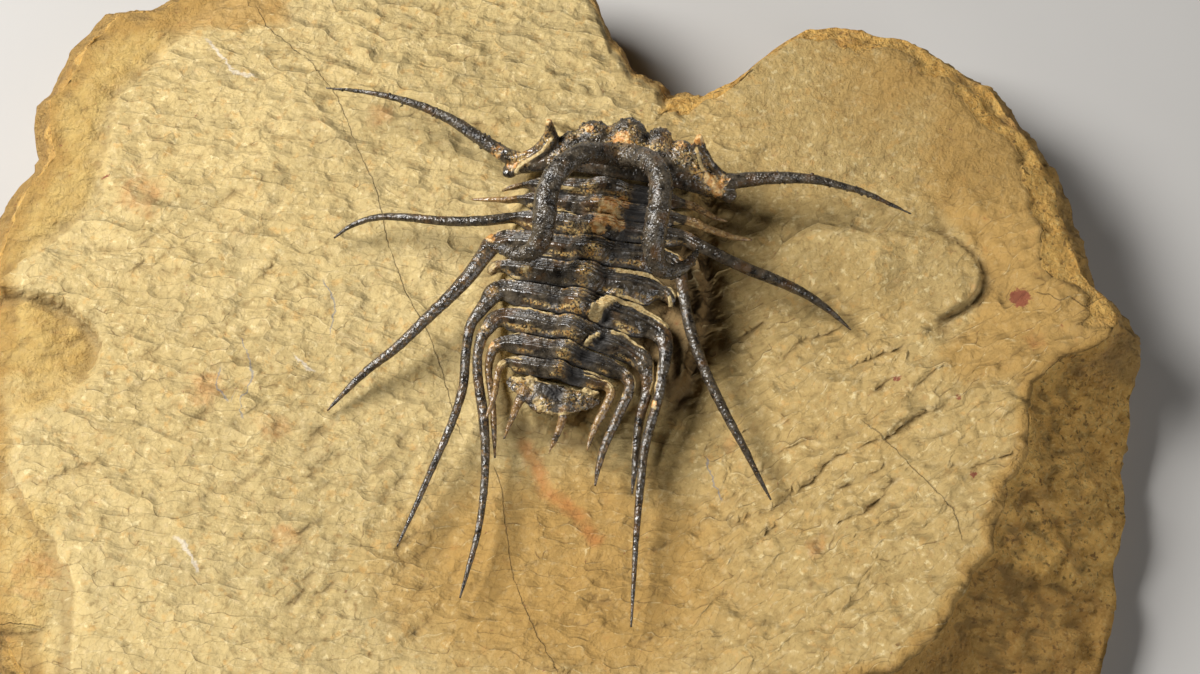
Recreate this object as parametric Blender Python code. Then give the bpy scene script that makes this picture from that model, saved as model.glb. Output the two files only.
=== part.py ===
"""A dicranurus trilobite on its loose slab of limestone matrix.

Sizes are in millimetres and become metres as each mesh is made. +Z is up, the head points
towards +Y, and the origin is the bottom centre of the slab.
"""

import math
from collections import namedtuple

import bmesh
import bpy
import numpy as np
from mathutils import Vector, noise

MM = 0.001

# Start from an empty scene
for old_object in list(bpy.data.objects):
    bpy.data.objects.remove(old_object)

# Plan places below are measured on the slab's top; this one lies over the frame's origin
ORIGIN = Vector((-0.2, 5.4, 0.0))

# Driving dimensions of the slab
SLAB_TOP = 24.0
SLAB_MIDDLE = (5.0, 14.0)
SLAB_GRID = 31
SLAB_GRID_CROWDING = 1.35
BOTTOM_SETBACK = 4.0

# Plan outline of the slab where it is widest, counter-clockwise from the right side
SLAB_OUTLINE = [
    (91.5, 17.0), (88.5, 27.0), (87.0, 33.0), (84.5, 38.0), (79.5, 46.0), (76.5, 50.5),
    (70.5, 55.5), (60.5, 60.5), (49.5, 63.0), (44.0, 63.0), (38.5, 59.5), (34.0, 55.5),
    (31.0, 53.0), (25.5, 51.0), (19.5, 51.0), (13.5, 55.0), (9.0, 61.0), (6.5, 68.0),
    (3.5, 72.0), (-22.5, 75.0), (-40.0, 75.0), (-57.0, 73.0), (-72.5, 67.0), (-79.0, 67.0),
    (-85.0, 60.5), (-87.0, 53.0), (-89.5, 49.5), (-89.0, 39.0), (-94.5, 32.0), (-97.5, 20.5),
    (-98.5, 8.5), (-98.0, -4.0), (-96.0, -16.0), (-97.0, -31.5), (-94.5, -46.5), (-86.0, -57.0),
    (-70.5, -60.0), (-45.5, -62.5), (-19.0, -64.0), (7.0, -63.0), (33.5, -64.0), (56.0, -63.0),
    (74.5, -60.0), (85.5, -55.5), (90.0, -48.5), (92.5, -42.0), (93.5, -29.0), (95.0, -19.5),
    (94.5, -14.5), (95.5, -8.0), (98.5, 2.5), (98.5, 7.0), (96.0, 12.0),
]

# Direction in degrees, how far the top edge is set back there, and the height of the widest line
SLAB_RIM = [
    (-180, 5.0, 14.0), (-150, 4.0, 14.0), (-120, 4.0, 13.0), (-100, 5.0, 12.0), (-80, 8.0, 10.0),
    (-60, 12.0, 8.0), (-53, 14.0, 7.5), (-47, 19.5, 7.0), (-42, 25.5, 7.0), (-38, 27.0, 7.0),
    (-35, 25.0, 7.0), (-31, 25.5, 7.0), (-26, 22.0, 7.0), (-21, 20.0, 7.0), (-16, 19.0, 7.0),
    (-13, 19.0, 7.0), (-9, 14.0, 7.5), (-7, 8.5, 8.0), (-3, 5.0, 10.0), (3, 4.0, 12.0),
    (30, 3.0, 14.0), (60, 2.5, 15.0), (90, 3.0, 15.0), (140, 4.0, 14.0), (160, 4.0, 14.0),
    (180, 5.0, 14.0),
]
# Share of the way from the top edge out to the widest line, and share of the drop, for each ring
FRACTURE_STEPS = [(0.24, 0.38), (0.62, 0.60), (1.0, 1.0)]
# Below the widest line: how far the side is set back, and its height
LOWER_RINGS = [(0.8, 3.5), (BOTTOM_SETBACK, 0.0)]
FRACTURE_ROUGHNESS = 1.6
FRACTURE_LUMPS_AROUND = 9
FRACTURE_LUMPS_DOWN = 0.16
# The top's edge is rounded over: the drop where the setback is small, and where that begins
EDGE_DROP = 6.0
EDGE_DROP_START = 0.93

# Broad rises and hollows of the worked top: middle, reach across and along, and height
TOP_SWELLS = [
    ((-20, -28), (16, 14), -1.3), ((60, -6), (26, 20), 0.9), ((-52, 34), (34, 22), 1.0),
    ((-52, -22), (34, 18), 0.9), ((-78, 62), (16, 14), -3.0),
]
TOP_WAVE = 0.7
TOP_WAVE_LENGTHS = (29, 21)
TOP_WAVE_STARTS = (1.1, 0.4)
# Rounded scoop in the left side, with a ledge along its upper edge
SCOOP_MIDDLE = (-94.0, 1.5)
SCOOP_SIZES = (18.5, 12.6)
SCOOP_DEPTH = 4.0
SCOOP_EDGE = 0.3
# Broken lower left corner: its slanting edge, how far in it reaches, its depth, and its edges' widths
CORNER_AT = (-83.0, -27.0)
CORNER_SLANT = (0.75, 0.5)
CORNER_INNER_EDGE = -76.0
CORNER_DEPTH = 2.6
CORNER_EDGE_WIDTH = 2.0
CORNER_INNER_WIDTH = 4.0
# Low tongue to the right of the fossil: its middle, half sizes, rise and edge width as a share
TONGUE_MIDDLE = (58.0, 15.5)
TONGUE_SIZES = (12.2, 7.8)
TONGUE_RISE = 0.5
TONGUE_EDGE = 0.25
# The drop past its round right end: depth, left end and its width, and how far out it fades, as shares
TONGUE_DROP = 1.5
TONGUE_DROP_LEFT = 60.0
TONGUE_DROP_WIDTH = 5.0
TONGUE_DROP_REACH = 2.0
TONGUE_DROP_FADE = 0.8

# The animal's own directions: its middle, and the turn of its axis from +Y
BODY_MIDDLE = (5.0, 12.0)
BODY_TURN = math.radians(14.2)

# Along the axis from the middle: half width, matrix height at the flank, and its rise to the axis
PEDESTAL = [
    (-22.0, 5.0, 28.6, 0.4), (-18.0, 7.6, 29.2, 0.9), (-13.0, 9.3, 30.0, 1.9), (-8.0, 11.0, 30.4, 2.6),
    (-3.0, 12.2, 30.6, 2.8), (2.0, 13.0, 30.8, 2.9), (8.0, 13.2, 31.0, 2.8), (15.0, 13.0, 31.0, 2.3),
    (20.0, 12.0, 30.6, 1.6), (24.0, 10.0, 30.0, 0.6),
]
PEDESTAL_SLOPE = 4.2

# The thorax, head to tail: each segment's axis, the ends of its two pleurae, and its two spines as
# points with half widths
SegmentShape = namedtuple("SegmentShape", "axis left_edge left_spine right_edge right_spine")
SEGMENTS = [
    SegmentShape(
        axis=(8.3, 26.9, 36.0),
        left_edge=(-5.6, 28.2, 32.9),
        left_spine=[(-7.2, 27.9, 32.8, 0.45), (-9.2, 27.4, 32.2, 0.16)],
        right_edge=(20.7, 25.0, 32.9),
        right_spine=[(22.5, 24.5, 32.8, 0.68), (24.5, 23.4, 32.6, 0.54), (26.1, 22.6, 32.3, 0.39),
                     (28.0, 22.2, 31.8, 0.16)],
    ),
    SegmentShape(
        axis=(7.5, 23.5, 36.5),
        left_edge=(-6.4, 25.8, 32.9),
        left_spine=[(-8.2, 25.6, 32.8, 0.59), (-10.0, 25.8, 32.4, 0.47), (-12.0, 26.0, 31.9, 0.36),
                    (-14.2, 26.2, 31.4, 0.16)],
        right_edge=(20.7, 22.1, 32.9),
        right_spine=[(22.7, 21.6, 32.8, 0.78), (24.8, 20.6, 32.6, 0.65), (27.1, 19.8, 32.3, 0.55),
                     (29.6, 19.2, 32.0, 0.42), (32.1, 19.0, 31.6, 0.16)],
    ),
    SegmentShape(
        axis=(6.7, 20.1, 36.8),
        left_edge=(-6.9, 22.6, 32.7),
        left_spine=[(-8.8, 22.4, 32.8, 0.91), (-10.5, 22.1, 32.9, 0.88), (-13.9, 21.9, 32.7, 0.85),
                    (-19.4, 22.2, 32.1, 0.78), (-25.1, 23.2, 31.0, 0.68), (-30.3, 23.6, 29.7, 0.55),
                    (-34.7, 22.4, 28.4, 0.39), (-37.2, 20.8, 27.5, 0.16)],
        right_edge=(20.8, 19.0, 32.7),
        right_spine=[(22.8, 17.9, 32.8, 1.22), (24.8, 16.8, 33.0, 1.04), (27.4, 15.4, 32.9, 1.01),
                     (31.0, 13.9, 32.2, 0.98), (36.6, 11.9, 31.1, 0.91), (40.8, 10.3, 29.6, 0.75),
                     (44.9, 7.8, 28.2, 0.52), (48.4, 4.9, 27.0, 0.16)],
    ),
    SegmentShape(
        axis=(5.5, 16.0, 37.0),
        left_edge=(-9.0, 18.6, 32.6),
        left_spine=[(-10.6, 18.0, 32.4, 1.75), (-12.1, 15.9, 32.5, 1.4), (-14.3, 12.8, 32.3, 1.27),
                    (-16.8, 10.0, 31.9, 1.12), (-21.0, 6.0, 31.0, 0.98), (-26.3, 1.1, 29.6, 0.82),
                    (-31.9, -3.0, 27.9, 0.65), (-35.2, -6.0, 26.5, 0.42), (-37.8, -8.6, 25.6, 0.16)],
        right_edge=(18.2, 15.4, 32.5),
        right_spine=[(19.7, 14.2, 32.4, 1.5), (20.3, 12.3, 32.3, 1.15), (20.8, 8.9, 32.1, 0.95),
                     (21.5, 4.7, 31.8, 0.98), (22.8, 0.2, 31.4, 0.93), (24.5, -4.2, 30.8, 0.86),
                     (27.0, -9.4, 29.9, 0.78), (30.7, -16.4, 28.8, 0.6), (33.0, -20.8, 27.6, 0.39),
                     (34.8, -24.0, 26.4, 0.16)],
    ),
    SegmentShape(
        axis=(4.4, 11.5, 36.8),
        left_edge=(-8.9, 14.3, 32.2),
        left_spine=[(-10.3, 14.1, 32.0, 1.0), (-10.9, 13.4, 31.8, 0.75), (-11.2, 13.0, 31.7, 0.39)],
        right_edge=(17.0, 9.8, 32.2),
        right_spine=[(18.2, 9.1, 32.1, 1.3), (18.7, 8.2, 31.9, 0.8), (18.8, 7.3, 31.7, 0.45)],
    ),
    SegmentShape(
        axis=(3.4, 6.9, 36.4),
        left_edge=(-8.8, 10.2, 32.1),
        left_spine=[(-10.4, 9.6, 32.0, 1.8), (-11.5, 8.1, 31.9, 1.3), (-13.2, 5.8, 31.8, 1.0),
                    (-14.2, 4.1, 31.7, 0.88), (-14.7, 1.7, 31.4, 0.83), (-15.0, -1.6, 31.1, 0.8),
                    (-15.2, -5.1, 30.7, 0.77), (-16.0, -8.5, 30.1, 0.73), (-17.6, -13.0, 29.3, 0.67),
                    (-20.2, -18.9, 28.2, 0.57), (-23.0, -25.4, 27.1, 0.42), (-25.9, -31.8, 26.2, 0.16)],
        right_edge=(15.2, 3.9, 32.1),
        right_spine=[(16.6, 3.0, 32.0, 1.9), (17.5, 1.4, 32.0, 1.45), (17.7, -0.8, 31.9, 1.12),
                     (17.4, -3.0, 31.8, 0.97), (17.0, -5.5, 31.6, 0.88), (16.5, -8.2, 31.3, 0.83),
                     (15.5, -11.6, 30.8, 0.8), (14.3, -16.1, 30.0, 0.76), (13.5, -23.0, 29.2, 0.67),
                     (12.8, -31.1, 28.2, 0.52), (12.4, -38.4, 27.3, 0.36), (12.0, -45.2, 26.4, 0.16)],
    ),
    SegmentShape(
        axis=(2.3, 2.5, 35.8),
        left_edge=(-8.9, 5.5, 31.9),
        left_spine=[(-10.4, 5.0, 31.8, 1.5), (-11.2, 3.9, 31.7, 1.2), (-12.2, 2.4, 31.6, 0.98),
                    (-12.7, 0.8, 31.5, 0.88), (-13.0, -1.0, 31.3, 0.82), (-13.0, -3.5, 31.0, 0.82),
                    (-12.7, -6.2, 30.7, 0.84), (-12.2, -9.4, 30.2, 0.84), (-11.7, -14.8, 29.6, 0.78),
                    (-11.7, -20.4, 28.8, 0.68), (-12.6, -28.9, 27.8, 0.55), (-14.6, -36.9, 27.0, 0.36),
                    (-15.6, -40.4, 26.4, 0.16)],
        right_edge=(12.4, -1.0, 31.9),
        right_spine=[(13.7, -1.8, 31.8, 1.9), (14.5, -3.3, 31.6, 1.35), (14.7, -5.4, 31.2, 1.0),
                     (14.4, -8.0, 30.6, 0.88), (13.7, -10.2, 29.9, 0.82), (13.1, -13.6, 29.0, 0.72),
                     (12.7, -18.3, 28.0, 0.59), (12.2, -23.2, 27.2, 0.16)],
    ),
    SegmentShape(
        axis=(1.3, -1.1, 35.0),
        left_edge=(-8.7, 1.1, 31.7),
        left_spine=[(-9.7, 0.8, 31.6, 1.17), (-10.5, 0.0, 31.3, 0.91), (-11.0, -1.6, 31.0, 0.74),
                    (-11.2, -3.3, 30.5, 0.62), (-10.9, -6.0, 30.1, 0.6), (-10.5, -8.9, 29.7, 0.55),
                    (-10.3, -12.2, 29.2, 0.47), (-10.1, -17.5, 28.4, 0.16)],
        right_edge=(10.3, -3.9, 31.7),
        right_spine=[(11.3, -4.7, 31.6, 1.1), (11.9, -6.0, 31.5, 0.91), (11.6, -7.5, 31.4, 0.85),
                     (10.7, -9.3, 31.1, 0.85), (9.5, -12.1, 30.8, 0.78), (7.8, -15.9, 30.5, 0.68),
                     (6.7, -19.6, 30.0, 0.49), (6.2, -22.5, 29.4, 0.16)],
    ),
    SegmentShape(
        axis=(0.3, -4.1, 34.2),
        left_edge=(-8.0, -2.1, 31.5),
        left_spine=[(-8.9, -2.5, 31.6, 0.72), (-9.5, -3.5, 31.8, 0.62), (-9.8, -5.3, 32.1, 0.53),
                    (-10.0, -7.3, 32.4, 0.5), (-10.7, -9.9, 32.5, 0.41), (-11.5, -11.9, 32.3, 0.16)],
        right_edge=(7.5, -5.9, 31.5),
        right_spine=[(8.5, -6.5, 31.4, 0.85), (8.8, -7.5, 31.3, 0.78), (8.3, -8.8, 31.2, 0.73),
                     (7.3, -10.8, 31.0, 0.68), (6.3, -12.7, 30.7, 0.59), (5.5, -14.7, 30.3, 0.46),
                     (4.9, -16.7, 30.0, 0.16)],
    ),
]
PYGIDIUM_AXIS = (-0.8, -7.1, 33.4)

# Share of the way from axis to pleural end, and share of the rise from that end to the axis
THORAX_PROFILE = [(0.0, 1.0), (0.13, 0.9), (0.24, 0.52), (0.34, 0.5), (0.6, 0.38), (0.84, 0.16)]
SEGMENT_GAP = 0.38
SPINE_STEP = 5.0
PLEURA_STEP = 2.6
# Where a pleura bends back it is broad and flat: its roundness, and the most that it rises either way
BEND_ROUNDNESS = (0.3, 0.65)
SPINE_HEIGHT = 1.15

# Half sections, front to rear, of a pleura (widths as shares, heights in mm) and of a round spine
PLEURA_SECTION = [
    (-0.9, -0.75), (-1.0, -0.1), (-0.62, 0.38), (-0.15, 0.12),
    (0.35, 0.72), (0.8, 0.55), (1.0, 0.0), (0.9, -0.75),
]
ROUND_SECTION = [
    (-0.71, -0.71), (-1.0, 0.0), (-0.71, 0.71), (-0.21, 0.98),
    (0.31, 0.95), (0.81, 0.59), (1.0, 0.0), (0.71, -0.71),
]

# Head shield: centre line from the left corner to the right one, and half width
HEAD_LINE = [
    (-8.9, 30.7, 32.4, 0.7), (-6.4, 31.7, 33.2, 1.7), (-2.5, 32.3, 34.4, 2.3), (2.5, 32.8, 35.6, 3.3),
    (6.5, 33.0, 36.2, 4.2), (10.5, 32.7, 36.5, 4.6), (14.8, 31.6, 36.2, 4.2), (19.2, 30.2, 35.6, 3.3),
    (23.3, 28.6, 34.4, 2.4), (26.8, 27.3, 33.2, 1.6), (28.9, 25.6, 32.4, 0.7),
]
HEAD_THICKNESS = 1.9
# Half width below which a shield's plate is thinner too
SHIELD_THINS_BELOW = 2.4
HEAD_STEP = 2.4
EYE_STEP = 2.0
HORN_STEP = 2.9
TAIL_STEP = 2.4
# Glabella and cheek lobes: centre, then half sizes across, along and up
HEAD_LOBES = [
    ((11.7, 35.4, 36.8), (3.1, 3.0, 2.7)),
    ((6.0, 35.4, 36.3), (3.1, 2.7, 2.4)),
    ((2.4, 34.1, 35.9), (2.2, 2.3, 1.9)),
    ((16.9, 34.0, 36.5), (2.2, 2.8, 2.3)),
    ((20.3, 32.3, 35.8), (2.5, 2.6, 2.1)),
    ((11.0, 32.4, 37.4), (3.6, 2.4, 2.2)),
    ((-2.6, 32.0, 34.6), (3.4, 1.5, 1.6)),
    ((22.8, 28.6, 34.6), (3.2, 1.5, 1.6)),
]
EYE_STALKS = [
    [(0.0, 33.6, 35.4), (-0.7, 34.6, 37.2), (-1.2, 35.8, 39.4), (-1.4, 36.6, 40.8)],
    [(22.0, 31.8, 35.4), (22.8, 32.6, 37.2), (23.2, 33.4, 39.4), (23.4, 34.0, 40.8)],
]
EYE_RADII = (1.5, 0.5)
GENAL_SPINES = [
    [(-4.6, 32.2, 33.4), (-7.6, 32.8, 33.5), (-10.2, 34.2, 33.8), (-14.1, 36.8, 34.1), (-17.4, 39.0, 34.4),
     (-21.1, 41.0, 34.2), (-25.3, 42.7, 33.9), (-29.3, 44.1, 33.1), (-34.8, 45.4, 32.1), (-39.0, 46.2, 31.0)],
    [(25.0, 28.6, 33.4), (28.2, 28.6, 33.5), (32.1, 28.9, 33.8), (35.6, 29.0, 34.1), (39.2, 28.9, 34.4),
     (42.8, 28.6, 34.2), (46.5, 27.8, 33.8), (50.8, 26.8, 33.0), (55.0, 25.3, 31.6), (58.7, 24.1, 30.0)],
]
GENAL_RADII = (1.5, 0.2)
# The two occipital horns, from the left tip over the back of the head to the right tip, with radius
OCCIPITAL_HORNS = [
    (-11.6, 15.7, 38.8, 0.35), (-8.4, 14.4, 39.9, 1.0), (-6.0, 13.3, 40.8, 1.25), (-3.8, 13.6, 42.0, 1.6),
    (-2.5, 15.2, 43.4, 1.8), (-2.0, 17.8, 45.0, 1.9), (-1.7, 21.1, 46.0, 1.9), (-0.6, 24.4, 46.4, 1.85),
    (1.5, 27.1, 46.0, 1.8), (4.2, 29.4, 44.5, 1.75), (7.0, 30.4, 41.9, 1.8), (10.1, 30.7, 40.2, 2.0),
    (12.7, 29.9, 41.9, 1.85), (15.3, 27.7, 44.5, 1.85), (16.7, 24.5, 46.0, 1.9), (16.7, 20.9, 46.4, 1.9),
    (16.2, 17.5, 46.0, 1.9), (15.7, 14.1, 45.0, 1.85), (15.9, 11.7, 43.4, 1.7), (17.0, 10.3, 42.0, 1.5),
    (19.0, 10.4, 40.8, 1.25), (21.1, 11.8, 39.9, 0.95), (23.1, 15.1, 38.8, 0.35),
]

# Tail shield: centre line from left to right, and half width, then its axial lobe and two spines
TAIL_LINE = [
    (-7.9, -4.6, 31.0, 0.6), (-7.0, -5.5, 31.4, 1.35), (-5.7, -6.35, 31.7, 1.75), (-4.1, -7.1, 32.0, 2.1),
    (-2.3, -8.25, 32.3, 2.65), (-0.1, -8.7, 32.4, 2.6), (2.1, -8.9, 32.2, 2.25), (4.4, -8.75, 31.9, 1.7),
    (6.1, -8.6, 31.4, 1.0), (6.9, -8.3, 31.0, 0.45),
]
TAIL_THICKNESS = 0.8
TAIL_LOBE = ((-1.0, -7.5, 32.7), (1.6, 1.5, 1.2))
TAIL_SPINES = [
    [(-5.0, -6.7, 31.6, 0.85), (-6.1, -8.5, 31.4, 0.72), (-7.0, -10.7, 31.1, 0.52), (-7.8, -12.7, 30.7, 0.36),
     (-8.6, -14.8, 30.2, 0.16)],
    [(1.5, -8.3, 31.6, 0.9), (1.3, -10.1, 31.5, 0.78), (0.7, -12.5, 31.1, 0.59), (-0.3, -14.9, 30.6, 0.39),
     (-1.4, -17.3, 30.0, 0.16)],
]


# Materials
def finish(name, colour, roughness):
    """A plain finish with the piece's own colour."""
    material = bpy.data.materials.new(name)
    material.use_nodes = True
    shader = material.node_tree.nodes["Principled BSDF"]
    shader.inputs["Base Color"].default_value = (*colour, 1.0)
    shader.inputs["Roughness"].default_value = roughness
    shader.inputs["Metallic"].default_value = 0.0
    return material


LIMESTONE = finish("limestone", (0.45, 0.33, 0.17), 0.85)
FOSSIL_SHELL = finish("fossil_shell", (0.035, 0.030, 0.028), 0.35)


def make_object(name, points, faces, material):
    """One mesh object from points in millimetres, with its faces turned outwards."""
    shape = bmesh.new()
    corners = [shape.verts.new((Vector(point) - ORIGIN) * MM) for point in points]
    for face in faces:
        shape.faces.new([corners[index] for index in face])
    bmesh.ops.recalc_face_normals(shape, faces=shape.faces)
    mesh = bpy.data.meshes.new(name)
    shape.to_mesh(mesh)
    shape.free()
    mesh.shade_smooth()
    mesh.set_sharp_from_angle(angle=math.radians(50))
    mesh.materials.append(material)
    solid = bpy.data.objects.new(name, mesh)
    bpy.context.scene.collection.objects.link(solid)
    return solid


# Sweeps: a skin of rings along a path
def smooth_rows(rows, steps):
    """Rows on a smooth curve through the given rows, one about every step along each stretch."""
    rows = np.array(rows, float)
    chord = np.linalg.norm(np.diff(rows[:, :3], axis=0), axis=1)
    station = np.concatenate([[0.0], np.cumsum(chord)])
    slope = np.gradient(rows, station, axis=0)
    out = [rows[0]]
    for index, length in enumerate(chord):
        count = max(1, round(length / steps[index]))
        for part in range(1, count + 1):
            t = part / count
            start = (2 * t**3 - 3 * t**2 + 1) * rows[index] + (t**3 - 2 * t**2 + t) * length * slope[index]
            end = (3 * t**2 - 2 * t**3) * rows[index + 1] + (t**3 - t**2) * length * slope[index + 1]
            out.append(start + end)
    return np.array(out)


def sweep(name, rows, section_of, material):
    """A closed solid through one ring at each row; section_of gives a row's points, side and up."""
    centres = rows[:, :3]
    tangents = np.gradient(centres, axis=0)
    points = []
    for row, centre, tangent in zip(rows, centres, tangents):
        ahead = tangent / np.linalg.norm(tangent)
        side = np.cross(ahead, (0.0, 0.0, 1.0))
        side /= np.linalg.norm(side)
        up = np.cross(side, ahead)
        for across, above in section_of(row):
            points.append(centre + side * across + up * above)
    sides = len(section_of(rows[0]))
    count = len(rows)
    faces = []
    for ring in range(count - 1):
        for corner in range(sides):
            following = (corner + 1) % sides
            first = ring * sides
            second = first + sides
            faces.append((first + corner, first + following, second + following, second + corner))
    faces.append(tuple(range(sides)))
    faces.append(tuple((count - 1) * sides + corner for corner in range(sides)))
    return make_object(name, points, faces, material)


def round_section(row):
    """A round ring whose radius is the row's fourth value."""
    return [(row[3] * across, row[3] * above) for across, above in ROUND_SECTION]


def spine_solid(name, points, step, radii=None):
    """A round tapered spine through the points, whose radii fall evenly where none are given."""
    if radii:
        shares = np.linspace(0.0, 1.0, len(points))
        points = [(*point, radii[0] + (radii[1] - radii[0]) * share) for point, share in zip(points, shares)]
    rows = smooth_rows(points, [step] * len(points))
    return sweep(name, rows, round_section, FOSSIL_SHELL)


def lobe_solid(name, centre, half_sizes):
    """A smooth egg-shaped lobe."""
    shape = bmesh.new()
    bmesh.ops.create_icosphere(shape, subdivisions=2, radius=1.0)
    mesh = bpy.data.meshes.new(name)
    for corner in shape.verts:
        offset = Vector(half * value for half, value in zip(half_sizes, corner.co))
        corner.co = (Vector(centre) + offset - ORIGIN) * MM
    shape.to_mesh(mesh)
    shape.free()
    mesh.materials.append(FOSSIL_SHELL)
    lobe = bpy.data.objects.new(name, mesh)
    bpy.context.scene.collection.objects.link(lobe)
    return lobe


def fuse(base, extras):
    """Grows the extras into the base, so that one closed body is left."""
    for extra in extras:
        union = base.modifiers.new("grown_on", "BOOLEAN")
        union.operation = "UNION"
        union.solver = "EXACT"
        union.object = extra
    depsgraph = bpy.context.evaluated_depsgraph_get()
    fused = bpy.data.meshes.new_from_object(base.evaluated_get(depsgraph))
    base.modifiers.clear()
    base.data = fused
    for extra in extras:
        bpy.data.objects.remove(extra)
    return base


# The limestone slab
def around(table, angle):
    """The table's values in a direction, in degrees, between its rows."""
    table = np.array(table, float)
    return [np.interp(angle, table[:, 0], table[:, column]) for column in range(1, table.shape[1])]


def outline_table():
    """The outline as rows of direction and distance from the slab's middle, all the way round."""
    rows = []
    for x, y in SLAB_OUTLINE:
        dx = x - SLAB_MIDDLE[0]
        dy = y - SLAB_MIDDLE[1]
        rows.append((math.degrees(math.atan2(dy, dx)), math.hypot(dx, dy)))
    rows.sort()
    before = (rows[-1][0] - 360, rows[-1][1])
    after = (rows[0][0] + 360, rows[0][1])
    return [before, *rows, after]


def body_place(x, y):
    """How far a point lies to the animal's right and towards its head from its middle."""
    dx = x - BODY_MIDDLE[0]
    dy = y - BODY_MIDDLE[1]
    right = dx * math.cos(BODY_TURN) - dy * math.sin(BODY_TURN)
    ahead = dx * math.sin(BODY_TURN) + dy * math.cos(BODY_TURN)
    return right, ahead


def ease(value):
    """A smooth step from 0 to 1."""
    value = min(1.0, max(0.0, value))
    return value * value * (3 - 2 * value)


def mound(x, y, middle, sizes, height):
    """A smooth round rise, or a hollow where the height is below zero."""
    reach = ((x - middle[0]) / sizes[0]) ** 2 + ((y - middle[1]) / sizes[1]) ** 2
    return height * math.exp(-reach)


def pedestal_height(x, y, height):
    """The height with the mound that the animal lies on raised out of the slab's top."""
    right, ahead = body_place(x, y)
    half, flank, rise = around(PEDESTAL, ahead)
    outside = max(abs(right) - half, ahead - PEDESTAL[-1][0], PEDESTAL[0][0] - ahead)
    plateau = flank + rise * max(0.0, 1 - (right / half) ** 2)
    return height + (plateau - height) * (1 - ease(outside / PEDESTAL_SLOPE))


def slab_surface(x, y):
    """Height of the worked top of the slab."""
    height = SLAB_TOP
    wave_across = math.sin(x / TOP_WAVE_LENGTHS[0] + TOP_WAVE_STARTS[0])
    wave_along = math.sin(y / TOP_WAVE_LENGTHS[1] + TOP_WAVE_STARTS[1])
    height += TOP_WAVE * wave_across * wave_along
    for middle, sizes, rise in TOP_SWELLS:
        height += mound(x, y, middle, sizes, rise)
    scoop = math.hypot((x - SCOOP_MIDDLE[0]) / SCOOP_SIZES[0], (y - SCOOP_MIDDLE[1]) / SCOOP_SIZES[1])
    height -= SCOOP_DEPTH * ease((1 - scoop) / SCOOP_EDGE)
    corner = (CORNER_AT[0] - x) * CORNER_SLANT[0] + (CORNER_AT[1] - y) * CORNER_SLANT[1]
    corner_share = ease(corner / CORNER_EDGE_WIDTH) * ease((CORNER_INNER_EDGE - x) / CORNER_INNER_WIDTH)
    height -= CORNER_DEPTH * corner_share
    tongue = math.hypot((x - TONGUE_MIDDLE[0]) / TONGUE_SIZES[0], (y - TONGUE_MIDDLE[1]) / TONGUE_SIZES[1])
    height += TONGUE_RISE * ease((1 - tongue) / TONGUE_EDGE)
    drop_share = ease((tongue - 1) / TONGUE_EDGE) * ease((TONGUE_DROP_REACH - tongue) / TONGUE_DROP_FADE)
    height -= TONGUE_DROP * drop_share * ease((x - TONGUE_DROP_LEFT) / TONGUE_DROP_WIDTH)
    return pedestal_height(x, y, height)


def disc_place(a, b):
    """The place in a round disc, as radius and direction, of a point in a square grid."""
    if abs(a) < 1e-9 and abs(b) < 1e-9:
        return 0.0, 0.0
    if abs(a) > abs(b):
        radius = abs(a)
        turn = math.pi / 4 * b / a
        if a < 0:
            turn += math.pi
    else:
        radius = abs(b)
        turn = math.pi / 2 - math.pi / 4 * a / b
        if b < 0:
            turn += math.pi
    return radius, math.remainder(turn, 2 * math.pi)


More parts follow.
